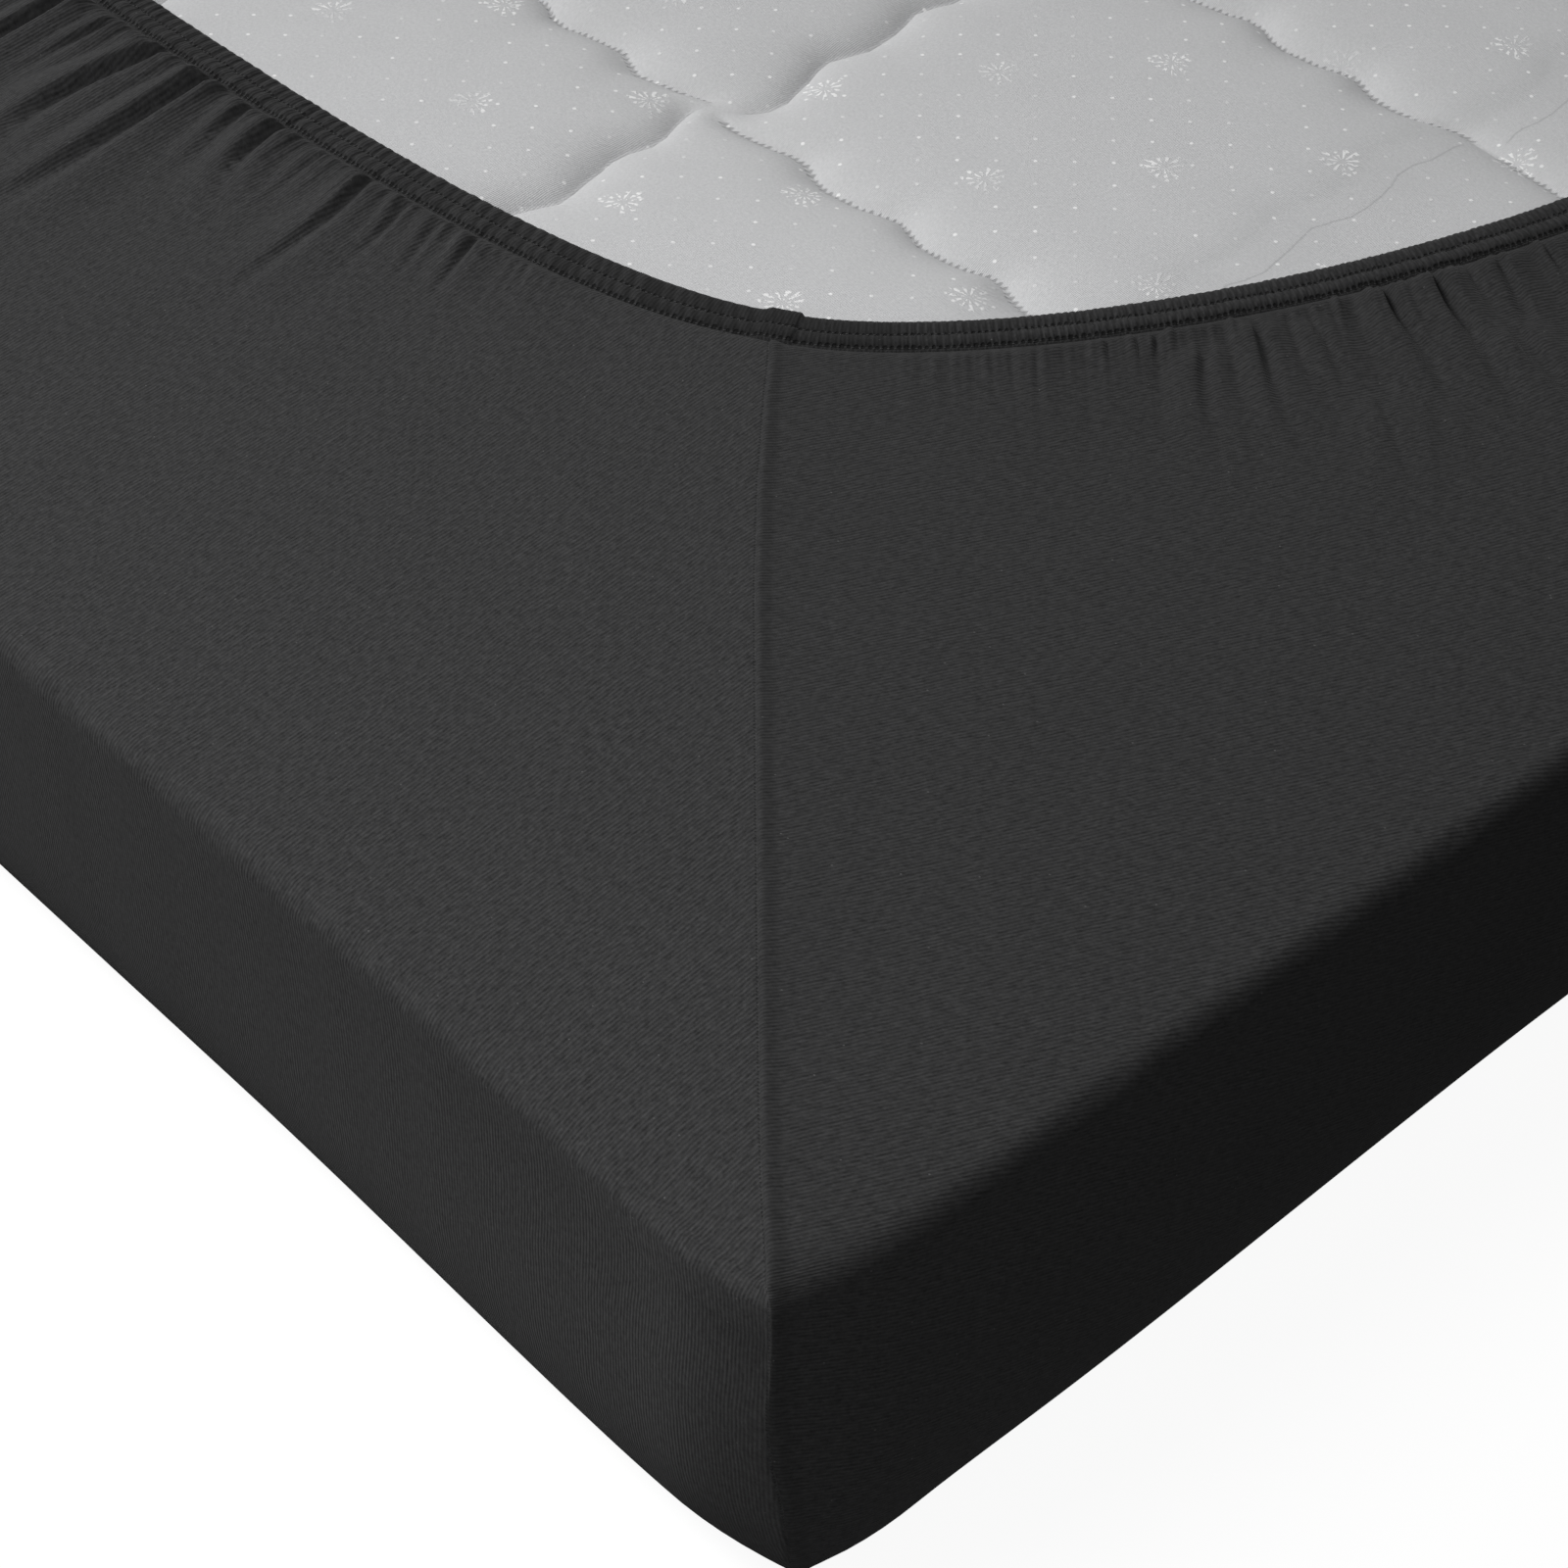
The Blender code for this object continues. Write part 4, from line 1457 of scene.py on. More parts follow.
@dataclass
class QuiltedMattress:
    """The mattress: a rounded block whose upper face is puffed up between quilting lines."""

    pitch: Span = (0.153, 0.163)
    crossing: Span = (-0.0507, -0.6455)
    reach: Span = (0.360, 0.800)
    valley: float = 0.0074
    shoulder: Span = (0.0065, 0.030)
    shoulder_share: float = 0.72
    # rounds across and up, below and above
    rounds: tuple[Span, Span] = ((0.017, 0.051), (0.012, 0.012))
    corner: float = 0.050
    quilt_margin: float = 0.03
    scallop: float = 0.0022
    scallop_length: float = 0.041
    # by each crossing the lines that run along x step aside, one way before it and one way after
    jog: float = 0.0076
    jog_length: float = 0.0040
    jog_reach: float = 0.035
    # how near a crossing the lines stop, and how much of their depth is lost there
    gap: float = 0.0065
    gap_loss: float = 0.42
    pucker: float = 0.0007
    pucker_reach: float = 0.010
    pucker_start: float = 0.002
    # the creases' lengths, and a turn that sets each line's apart from the next one's
    pucker_waves: Table = ((0.0017, 91.0), (0.0029, 53.0), (0.0047, 17.0))
    pucker_swell: Span = (0.013, 29.0)
    # distances from a quilting line at which the mesh has its own lines
    near_line: tuple[float, ...] = (0.0, 0.0009, 0.0020, 0.0034, 0.0050, 0.0070, 0.0096, 0.0130)
    cell_step: float = 0.0062
    rim_parts: tuple[float, ...] = (0.0, 0.25, 0.5, 0.75, 1.0)
    outer_steps: int = 3
    # how much slimmer the block is than its solid where the sheet's walls draw in over it
    tuck: float = 0.0035

    def __post_init__(self) -> None:
        """Takes the block's size from its CAD node."""
        low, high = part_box("mattress")
        self.half = (np.array(high) - np.array(low)) / 2 - (self.tuck, self.tuck, 0.0)
        self.middle_height = (low.z + high.z) / 2

    def _lines(self, axis: int) -> Array:
        """The quilting lines that cross this axis, a little past the fine part.

        Args:
            axis: 0 across, 1 along.

        Returns:
            Their places.
        """
        pitch, crossing, reach = self.pitch[axis], self.crossing[axis], self.reach[axis]
        first = math.ceil((-reach - crossing) / pitch) - 1
        return crossing + np.arange(first, math.floor((reach - crossing) / pitch) + 2) * pitch

    def _samples(self, axis: int) -> Array:
        """The mesh's lines across an axis: fine in the opening, few under the sheet.

        Args:
            axis: 0 across, 1 along.

        Returns:
            Their places.
        """
        reach, half_cell, last = self.reach[axis], self.pitch[axis] / 2, self.near_line[-1]
        steps = round((half_cell - last) / self.cell_step)
        away = np.concatenate((self.near_line, np.linspace(last, half_cell, steps + 1)[1:]))
        fine = np.concatenate([line + sign * away for line in self._lines(axis) for sign in (-1, 1)])
        fine = np.unique(np.round(fine[np.abs(fine) <= reach], 7))
        rim = self.half[axis] - self.rounds[1][0] * (1.0 - np.array(self.rim_parts))
        beyond = np.concatenate((np.linspace(reach, rim[0], self.outer_steps + 1)[1:-1], rim))
        return np.concatenate((-beyond[::-1], fine, beyond))

    def _rounded(self, points: Array) -> Array:
        """Moves points of the plain box onto its rounded form.

        Args:
            points: points on the box's surface, centred on the origin.

        Returns:
            The moved points.
        """
        above = points[:, 2] > 0
        across, up = (np.where(above, self.rounds[1][i], self.rounds[0][i]) for i in (0, 1))
        core = self.half[:2] - self.corner
        plan = np.clip(points[:, :2], -core, core)
        out = points[:, :2] - plan
        reach = np.abs(out).max(axis=1)
        out = out * (reach / np.maximum(np.linalg.norm(out, axis=1), 1e-9))[:, None]
        straight = self.corner - across
        overhang = np.maximum(0.0, reach - straight) / across
        rise = np.maximum(0.0, np.abs(points[:, 2]) - (self.half[2] - up)) / up
        both = (overhang > 0) & (rise > 0)
        size = np.maximum(overhang, rise) / np.maximum(np.hypot(overhang, rise), 1e-9)
        stretch = (straight + across * overhang * size) / np.maximum(reach, 1e-9)
        out = np.where(both[:, None], out * stretch[:, None], out)
        level = np.sign(points[:, 2]) * (self.half[2] - up + up * rise * size)
        return np.column_stack((plan + out, np.where(both, level, points[:, 2])))

    def _nearest(self, axis: int, values: Array) -> Array:
        """The nearest quilting line's place across this axis."""
        pitch, crossing = self.pitch[axis], self.crossing[axis]
        return crossing + np.round((values - crossing) / pitch) * pitch

    def _wave(self, axis: int, runs: Array, lines: Array) -> Array:
        """How far scalloped lines wander sideways.

        Args:
            axis: the axis that they cross.
            runs: places along them.
            lines: each place's own line.

        Returns:
            The shifts.
        """
        turn = 2 * np.pi * runs / self.scallop_length + lines * 37.0
        wave = self.scallop * (np.sin(turn) + 0.28 * np.sin(2.07 * turn + 0.9)
                               + 0.25 * np.sin(0.43 * turn + lines * 11.0))
        if axis == 1:
            beside = runs - self._nearest(0, runs)
            wave = wave - self.jog * np.tanh(beside / self.jog_length) * bell(beside, self.jog_reach)
        return wave

    def _pucker(self, runs: Array, lines: Array, away: Array) -> Array:
        """Short creases that the stitching draws in square to a line.

        Args:
            runs: places along the lines.
            lines: each place's own line.
            away: distances from it.

        Returns:
            Heights.
        """
        ripple = sum(np.sin(runs / length + lines * turn) for length, turn in self.pucker_waves) / 3
        swell = 0.5 + 0.5 * np.sin(runs / self.pucker_swell[0] + lines * self.pucker_swell[1])
        fade = np.exp(-away / self.pucker_reach) * (1.0 - np.exp(-away / self.pucker_start))
        return self.pucker * ripple * swell * fade

    def _top(self, x: Array, y: Array) -> tuple[list[Array], Array]:
        """The quilted face's relief.

        Args:
            x: places across.
            y: places along.

        Returns:
            The sideways shifts both ways and the depth under the crown.
        """
        shifts = []
        puff = 1.0
        depth = np.zeros(len(x))
        steep, slow = self.shoulder
        offsets = [here - self._nearest(axis, here) for axis, here in enumerate((x, y))]
        kept = 1.0 - self.gap_loss * bell(np.hypot(*offsets), self.gap)
        for axis, (here, other) in enumerate(((x, y), (y, x))):
            line = self._nearest(axis, here)
            distance = np.abs(here - line)
            fade = np.cos(np.pi * np.clip(distance / self.pitch[axis], 0.0, 0.5)) ** 2
            shifts.append(self._wave(axis, other, line) * fade)
            drawn = (self.shoulder_share * np.exp(-distance / steep)
                     + (1.0 - self.shoulder_share) * np.exp(-distance / slow))
            puff = puff * (1.0 - drawn * kept)
            depth += self._pucker(other, line, distance)
        return shifts, np.minimum(depth - self.valley * (1.0 - puff), 0.0)

    def build(self, material: Material) -> Piece:
        """Builds the whole block, its quilted face above and its sleeping face below.

        Args:
            material: the ticking's finish.

        Returns:
            The mattress's object.
        """
        grid_x, grid_y = np.meshgrid(self._samples(0), self._samples(1))
        flat = np.column_stack((grid_x.ravel(), grid_y.ravel(), np.full(grid_x.size, self.half[2])))
        index = np.arange(grid_x.size).reshape(grid_x.shape)
        quads = np.stack((index[:-1, :-1], index[:-1, 1:], index[1:, 1:], index[1:, :-1]), axis=-1)
        faces = quads.reshape(-1, 4).tolist()
        above = np.concatenate((index[0, :-1], index[:-1, -1], index[-1, :0:-1], index[:0:-1, 0]))
        points = [self._shaped(flat)]
        rim = flat[above]
        start = len(flat)
        for level, squeeze in self._side_levels():
            ring = rim.copy()
            ring[:, 2] = level
            ring[:, :2] *= 1.0 - squeeze / self.half[:2]
            points.append(self._rounded(ring))
            here = start + np.arange(len(rim))
            faces += np.column_stack((here, np.roll(here, -1), np.roll(above, -1), above)).tolist()
            above = here
            start += len(rim)
        faces.append(above[::-1].tolist())
        stacked = np.vstack(points)
        stacked[:, 2] += self.middle_height
        made = new_piece("mattress_quilted", stacked, faces, [material])
        self._add_maps(made, flat, stacked)
        return made

    def _side_levels(self) -> Iterator[Span]:
        """Levels of the rings down the sides and in under the block, and how far each draws in.

        Yields:
            A level and how far its ring draws in.
        """
        top = self.half[2]
        (low_across, low_up), (_, top_up) = self.rounds
        parts = np.array(self.rim_parts[1:])
        yield from ((top - top_up * part, 0.0) for part in parts)
        yield from ((low_up * part - top, 0.0) for part in parts[::-1])
        yield -top, 0.0
        yield from ((-top, low_across * part) for part in parts)

    def _shaped(self, flat: Array) -> Array:
        """The upper face's points, rounded at the rim and quilted inside it.

        Args:
            flat: the points before.

        Returns:
            The points.
        """
        inside = np.min(self.half[:2] - np.abs(flat[:, :2]), axis=1)
        shifts, depth = self._top(flat[:, 0], flat[:, 1])
        weight = smooth((inside - self.corner) / self.quilt_margin)
        return self._rounded(flat) + np.column_stack((*shifts, depth)) * weight[:, None]

    def _add_maps(self, made: Piece, flat: Array, points: Array) -> None:
        """Adds the ticking's own places and its places by the quilting lines both ways.

        Args:
            made: the mattress's object.
            flat: the upper face's points before quilting.
            points: all the points.
        """
        vertices, owners = corner_vertices(made)
        add_map(made, "ticking_place", points[vertices][:, :2])
        places = points.copy()
        places[:len(flat)] = flat
        places = places[vertices]
        totals = np.bincount(owners)
        for axis, name in enumerate(("quilting_across", "quilting_along")):
            centres = np.bincount(owners, weights=places[:, axis]) / totals
            away = places[:, axis] - self._nearest(axis, centres)[owners]
            run = places[:, 1 - axis]
            add_map(made, name, np.column_stack((run, away)))
            beside = run - self._nearest(1 - axis, run)
            add_map(made, name + "_gap", np.column_stack((beside, away)))


# ---- Finishes ----


class Signal:
    """An output in a node graph, which takes part in sums as a number does."""

    def __init__(self, graph: "Graph", socket: bpy.types.NodeSocket) -> None:
        """Wraps a socket of this graph."""
        self.graph = graph
        self.socket = socket

    def __add__(self, other: "Signal | float") -> "Signal":
        """The sum."""
        return self.graph.math("ADD", self, other)

    def __sub__(self, other: "Signal | float") -> "Signal":
        """The difference."""
        return self.graph.math("SUBTRACT", self, other)

    def __mul__(self, other: "Signal | float") -> "Signal":
        """The product."""
        return self.graph.math("MULTIPLY", self, other)

    def __truediv__(self, other: "Signal | float") -> "Signal":
        """The quotient."""
        return self.graph.math("DIVIDE", self, other)


class Graph:
    """Adds nodes to one node tree and links them."""

    def __init__(self, tree: bpy.types.NodeTree) -> None:
        """Works on this tree."""
        self.tree = tree

    def feed(self, node: bpy.types.Node, inputs: dict) -> None:
        """Gives a node its inputs.

        Args:
            node: the node.
            inputs: signals to link or values to set, by input name or number.
        """
        for name, value in inputs.items():
            if isinstance(value, Signal):
                self.tree.links.new(value.socket, node.inputs[name])
            else:
                node.inputs[name].default_value = value

    def add_node(self, kind: str, inputs: dict | None = None, **settings: object) -> bpy.types.Node:
        """Adds a node.

        Args:
            kind: the node's type.
            inputs: signals to link or values to set, by input name or number.
            **settings: the node's own settings.

        Returns:
            The node.
        """
        node = self.tree.nodes.new(kind)
        for name, value in settings.items():
            setattr(node, name, value)
        self.feed(node, inputs or {})
        return node

    def add(self, kind: str, inputs: dict | None = None, output: int | str = 0,
            **settings: object) -> Signal:
        """Adds a node, as add_node does, and gives one of its outputs."""
        return Signal(self, self.add_node(kind, inputs, **settings).outputs[output])

    def math(self, operation: str, *values: Signal | float) -> Signal:
        """The result of a math operation on signals or numbers."""
        return self.add("ShaderNodeMath", dict(enumerate(values)), operation=operation)

    def noise(self, vector: Signal, scale: float, detail: float, roughness: float = 0.5) -> Signal:
        """Flat noise from 0 to 1."""
        return self.add("ShaderNodeTexNoise", {"Vector": vector, "Scale": scale, "Detail": detail,
                                               "Roughness": roughness}, noise_dimensions="2D")

    def ease(self, value: Signal, low: float, high: float, start: float = 0.0,
             end: float = 1.0) -> Signal:
        """Eases from start to end as the value goes from low to high.

        Args:
            value: the value.
            low: where it sets in.
            high: where it ends.
            start: the result up to there.
            end: the result from there on.

        Returns:
            The result.
        """
        return self.add("ShaderNodeMapRange", {"Value": value, "From Min": low, "From Max": high,
                                               "To Min": start, "To Max": end},
                        interpolation_type="SMOOTHSTEP")

    def mix(self, share: Signal | float, first: Signal | Colour, second: Signal | Colour,
            blend_type: str = "MIX") -> Signal:
        """A colour between two colours."""
        return self.add("ShaderNodeMix", {0: share, 6: first, 7: second}, output=2,
                        data_type="RGBA", blend_type=blend_type)

    def toned(self, colour: Signal | Colour, tone: Signal) -> Signal:
        """A colour made lighter or darker."""
        grey = self.add("ShaderNodeCombineColor", dict.fromkeys(range(3), tone))
        return self.mix(1.0, colour, grey, "MULTIPLY")

    def bump(self, height: Signal, distance: float) -> Signal:
        """A normal tilted by relief of this height."""
        return self.add("ShaderNodeBump", {"Strength": 1.0, "Distance": distance, "Height": height})

    def split(self, vector: Signal) -> list[Signal]:
        """A vector's parts."""
        node = self.add_node("ShaderNodeSeparateXYZ", {0: vector})
        return [Signal(self, socket) for socket in node.outputs]

    def group(self, tree: bpy.types.NodeTree, **inputs: object) -> dict[str, Signal]:
        """Places a node group.

        Args:
            tree: the group.
            **inputs: its inputs, named as they are but for underscores.

        Returns:
            Its outputs by name.
        """
        named = {name.replace("_", " "): value for name, value in inputs.items()}
        node = self.add_node("ShaderNodeGroup", named, node_tree=tree)
        return {socket.name: Signal(self, socket) for socket in node.outputs}

    def map(self, name: str) -> Signal:
        """A mesh's UV map as a vector."""
        return self.add("ShaderNodeUVMap", uv_map=name)


def new_group(name: str, inputs: dict[str, float | None],
              outputs: Sequence[str]) -> tuple[Graph, list[Signal], bpy.types.Node]:
    """Makes a node group with these sockets.

    Args:
        name: the group's name.
        inputs: its inputs' names and first values, None for a vector.
        outputs: its outputs' names.

    Returns:
        The group's graph, its inputs and its output node.
    """
    tree = bpy.data.node_groups.new(name, "ShaderNodeTree")
    for socket, start in inputs.items():
        kind = "NodeSocketVector" if start is None else "NodeSocketFloat"
        made = tree.interface.new_socket(name=socket, in_out="INPUT", socket_type=kind)
        if start is not None:
            made.default_value = start
    for socket in outputs:
        tree.interface.new_socket(name=socket, in_out="OUTPUT", socket_type="NodeSocketFloat")
    graph = Graph(tree)
    given = tree.nodes.new("NodeGroupInput").outputs[:len(inputs)]
    return graph, [Signal(graph, socket) for socket in given], tree.nodes.new("NodeGroupOutput")


class EffectGroups:
    """The node groups that the finishes share, each built once."""

    def __init__(self) -> None:
        """Builds the groups."""
        self.knit = self._knit()
        self.mottle = self._mottle()
        self.needle_row = self._needle_row()

    @staticmethod
    def _knit() -> bpy.types.NodeTree:
        """Fine uneven lines of single jersey, with short dashes of lighter yarn.

        Returns:
            The group.
        """
        graph, (place, pitch, dash, waver), out = new_group(
            "knit_lines", {"Place": None, "Pitch": 0.00105, "Dash": 0.0034, "Waver": 1.2},
            ("Shade", "Height"))
        run, line, _ = graph.split(place)
        rows = line / pitch + (graph.noise(place, 40.0, 2.0) - 0.5) * waver
        wave = graph.math("SINE", rows * (2 * math.pi)) * 0.5 + 0.5
        stretched = graph.add("ShaderNodeCombineXYZ", {0: run / dash, 1: rows})
        dashes = graph.noise(stretched, 1.0, 3.0, 0.65)
        fuzz = graph.noise(place, 900.0, 3.0, 0.7)
        graph.feed(out, {"Shade": fuzz + (wave * 0.30 + dashes * 1.20) - 0.75,
                         "Height": dashes * 0.5 + wave * 0.5})
        return graph.tree

    @staticmethod
    def _mottle() -> bpy.types.NodeTree:
        """Slow unevenness of dyed cloth, and a few flecks of lint.

        Returns:
            The group.
        """
        graph, (place, patch, depth, fleck_size), out = new_group(
            "cloth_mottle", {"Place": None, "Patch": 0.03, "Depth": 0.12, "Fleck Size": 0.00022},
            ("Tone", "Fleck"))
        fine = graph.add("ShaderNodeVectorMath", {0: place, 3: graph.math("DIVIDE", 1.0, patch)},
                         operation="SCALE")
        wide = graph.noise(fine, 1.0, 3.0, 0.55) - 0.5
        spread = wide + (graph.noise(fine, 7.3, 2.0, 0.6) - 0.5) * 0.8
        fleck_cells = 85.0
        cells = graph.add_node("ShaderNodeTexVoronoi", {"Vector": place, "Scale": fleck_cells},
                               voronoi_dimensions="2D").outputs
        near = graph.math("LESS_THAN", Signal(graph, cells["Distance"]) / fleck_cells, fleck_size)
        chance = graph.split(Signal(graph, cells["Color"]))[0]
        graph.feed(out, {"Tone": spread * depth + 1.0,
                         "Fleck": near * graph.math("GREATER_THAN", chance, 0.82)})
        return graph.tree

    @staticmethod
    def _needle_row() -> bpy.types.NodeTree:
        """A row of small pits where a needle has drawn the cloth down, uneven in size.

        Returns:
            The group.
        """
        graph, (run, away, pitch, radius), out = new_group(
            "needle_row", {"Run": 0.0, "Away": 0.0, "Pitch": 0.00175, "Radius": 0.0006}, ("Pit",))
        count = run / pitch
        chance = graph.add("ShaderNodeTexWhiteNoise", {"W": graph.math("FLOOR", count)},
                           output="Value", noise_dimensions="1D")
        beside = (graph.math("FRACT", count) - (chance * 0.2 + 0.4)) * pitch
        distance = graph.math("SQRT", beside * beside + away * away)
        size = radius * (chance * 0.45 + 0.72)
        graph.feed(out, {"Pit": graph.ease(distance / size, 0.55, 1.15, 1.0, 0.0)})
        return graph.tree


def new_material(name: str, preview: Colour) -> tuple[Material, Graph, bpy.types.Node]:
    """A material with nodes.

    Args:
        name: its name.
        preview: its plain colour in a solid view.

    Returns:
        The material, its graph and its Principled BSDF.
    """
    material = bpy.data.materials.new(name)
    material.use_nodes = True
    material.diffuse_color = preview
    return material, Graph(material.node_tree), material.node_tree.nodes["Principled BSDF"]


@dataclass(frozen=True)
class JerseyFinish:
    """Matt anthracite single jersey, with fine lines and faint mottling."""

    name: str
    groups: EffectGroups
    dark: Colour = (0.0125, 0.0125, 0.0128, 1.0)
    light: Colour = (0.0505, 0.0505, 0.0514, 1.0)
    lint: Colour = (0.080, 0.080, 0.080, 1.0)
    # a scale on both colours; the short panels' lower tone is painted shade
    tone: float = 1.0
    pitch: float = 0.00105
    dash: float = 0.0034
    relief: float = 0.00016
    roughness: float = 0.92
    sheen: float = 0.05
    sheen_roughness: float = 0.5
    specular: float = 0.25
    # the corner seam's stitches, as pits: how far before it, their pitch, radius, how dark their
    # painted shade is, and their depth
    seam_stitches: tuple[float, ...] = (0.0004, 0.0011, 0.00032, 0.60, 0.8)
    # painted shade in a strip beside the seam, where the cloth slopes down off the seam allowance:
    # where it sets in, where it ends, and how dark it is
    seam_strip: tuple[Span, Span] = ((0.0012, 0.0018), (0.0036, 0.0054))
    seam_painted_shade: float = 0.18
    # the colour that all of the panels' painted shade darkens towards
    painted_shade_dark: Colour = (0.006, 0.006, 0.006, 1.0)
    # painted shade in the hem's grooves between its ribs: how dark, and towards what colour
    groove_painted_shade: float = 0.85
    groove_painted_dark: Colour = (0.004, 0.004, 0.004, 1.0)
    # painted shade in the pits of the hem's inner and outer row: how dark it is, towards what colour,
    # and how deep the pits are
    pit_painted_shades: Span = (0.85, 0.95)
    pit_painted_dark: Colour = (0.003, 0.003, 0.003, 1.0)
    pit_depth: float = 2.2

    def _cloth(self, graph: Graph, place: Signal) -> tuple[Signal, Signal]:
        """The plain cloth.

        Args:
            graph: the material's graph.
            place: the place on the cloth.

        Returns:
            Its colour and its height.
        """
        knit = graph.group(self.groups.knit, Place=place, Pitch=self.pitch, Dash=self.dash)
        mottle = graph.group(self.groups.mottle, Place=place)
        shades = [(*(self.tone * part for part in colour[:3]), 1.0)
                  for colour in (self.dark, self.light)]
        colour = graph.toned(graph.mix(knit["Shade"], *shades), mottle["Tone"])
        return graph.mix(mottle["Fleck"], colour, self.lint), knit["Height"]

    def _finish(self, graph: Graph, shader: bpy.types.Node, colour: Signal, height: Signal) -> None:
        """Sets the shader's own values, and links its colour and bump.

        Args:
            graph: the material's graph.
            shader: its Principled BSDF.
            colour: the cloth's colour.
            height: its height.
        """
        graph.feed(shader, {"Roughness": self.roughness, "Sheen Weight": self.sheen,
                            "Sheen Roughness": self.sheen_roughness,
                            "Specular IOR Level": self.specular, "Base Color": colour,
                            "Normal": graph.bump(height, self.relief)})

    def panel(self) -> Material:
        """The finish of a panel, with painted shade in the stitched groove by its corner seams and in
        the gathers.

        Returns:
            The material.
        """
        material, graph, shader = new_material(self.name, self.light)
        colour, height = self._cloth(graph, graph.map("cloth_cut"))
        run, away, _ = graph.split(graph.map("seam_run"))
        before, pitch, radius, shade, depth = self.seam_stitches
        pits = graph.group(self.groups.needle_row, Run=run, Away=away + before, Pitch=pitch,
                           Radius=radius)["Pit"]
        # painted shade beside the seam, where the cloth slopes down off the seam allowance
        strip = (graph.ease(away, *self.seam_strip[0])
                 * graph.ease(away, *self.seam_strip[1], self.seam_painted_shade, 0.0))
        # all of the panel's painted shade: in the seam's stitch pits, beside the seam and in the
        # gathers
        mark = graph.math("MAXIMUM", pits * shade, strip)
        # painted shade in the gathers' valleys
        mark = graph.math("MAXIMUM", mark, graph.split(graph.map("painted_gather_shade"))[0])
        self._finish(graph, shader, graph.mix(mark, colour, self.painted_shade_dark), height - pits * depth)
        return material

    def hem(self, band: HemBand) -> Material:
        """The finish of the hem, with painted shade in the grooves between its ribs and in a row of
        pits along each row of stitches.

        Args:
            band: the hem.

        Returns:
            The material.
        """
        material, graph, shader = new_material(self.name, self.light)
        run, away, _ = graph.split(graph.map("hem_run"))
        colour, height = self._cloth(graph, graph.add("ShaderNodeCombineXYZ", {0: away, 1: run}))
        # painted shade in the grooves between the hem's ribs
        groove, rib_share, _ = graph.split(graph.map("hem_ribs"))
        groove = graph.ease(groove, 0.0, 1.0, 0.0, self.groove_painted_shade) * rib_share
        colour = graph.mix(groove, colour, self.groove_painted_dark)
        pitch = band.folds.total / round(band.folds.total / band.stitch_pitch)
        for row, radius, shade in zip(band.stitch_rows, band.pit_radii, self.pit_painted_shades):
            pits = graph.group(self.groups.needle_row, Run=run, Away=away - row, Pitch=pitch,
                               Radius=radius)["Pit"]
            # painted shade in the stitch pits
            colour = graph.mix(pits * shade, colour, self.pit_painted_dark)
            height = height - pits * self.pit_depth
        self._finish(graph, shader, colour, height)
        return material


@dataclass(frozen=True)
class ThreadFinish:
    """Matt sewing thread in the cloth's colour."""

    name: str
    groups: EffectGroups
    colour: Colour = (0.034, 0.034, 0.035, 1.0)
    patch: float = 0.004
    depth: float = 0.5
    roughness: float = 0.75

    def build(self) -> Material:
        """The thread's material.

        Returns:
            The material.
        """
        material, graph, shader = new_material(self.name, self.colour)
        place = graph.add("ShaderNodeTexCoord", output="Object")
        mottle = graph.group(self.groups.mottle, Place=place, Patch=self.patch, Depth=self.depth)
        graph.feed(shader, {"Base Color": graph.toned(self.colour, mottle["Tone"]),
                            "Roughness": self.roughness})
        return material


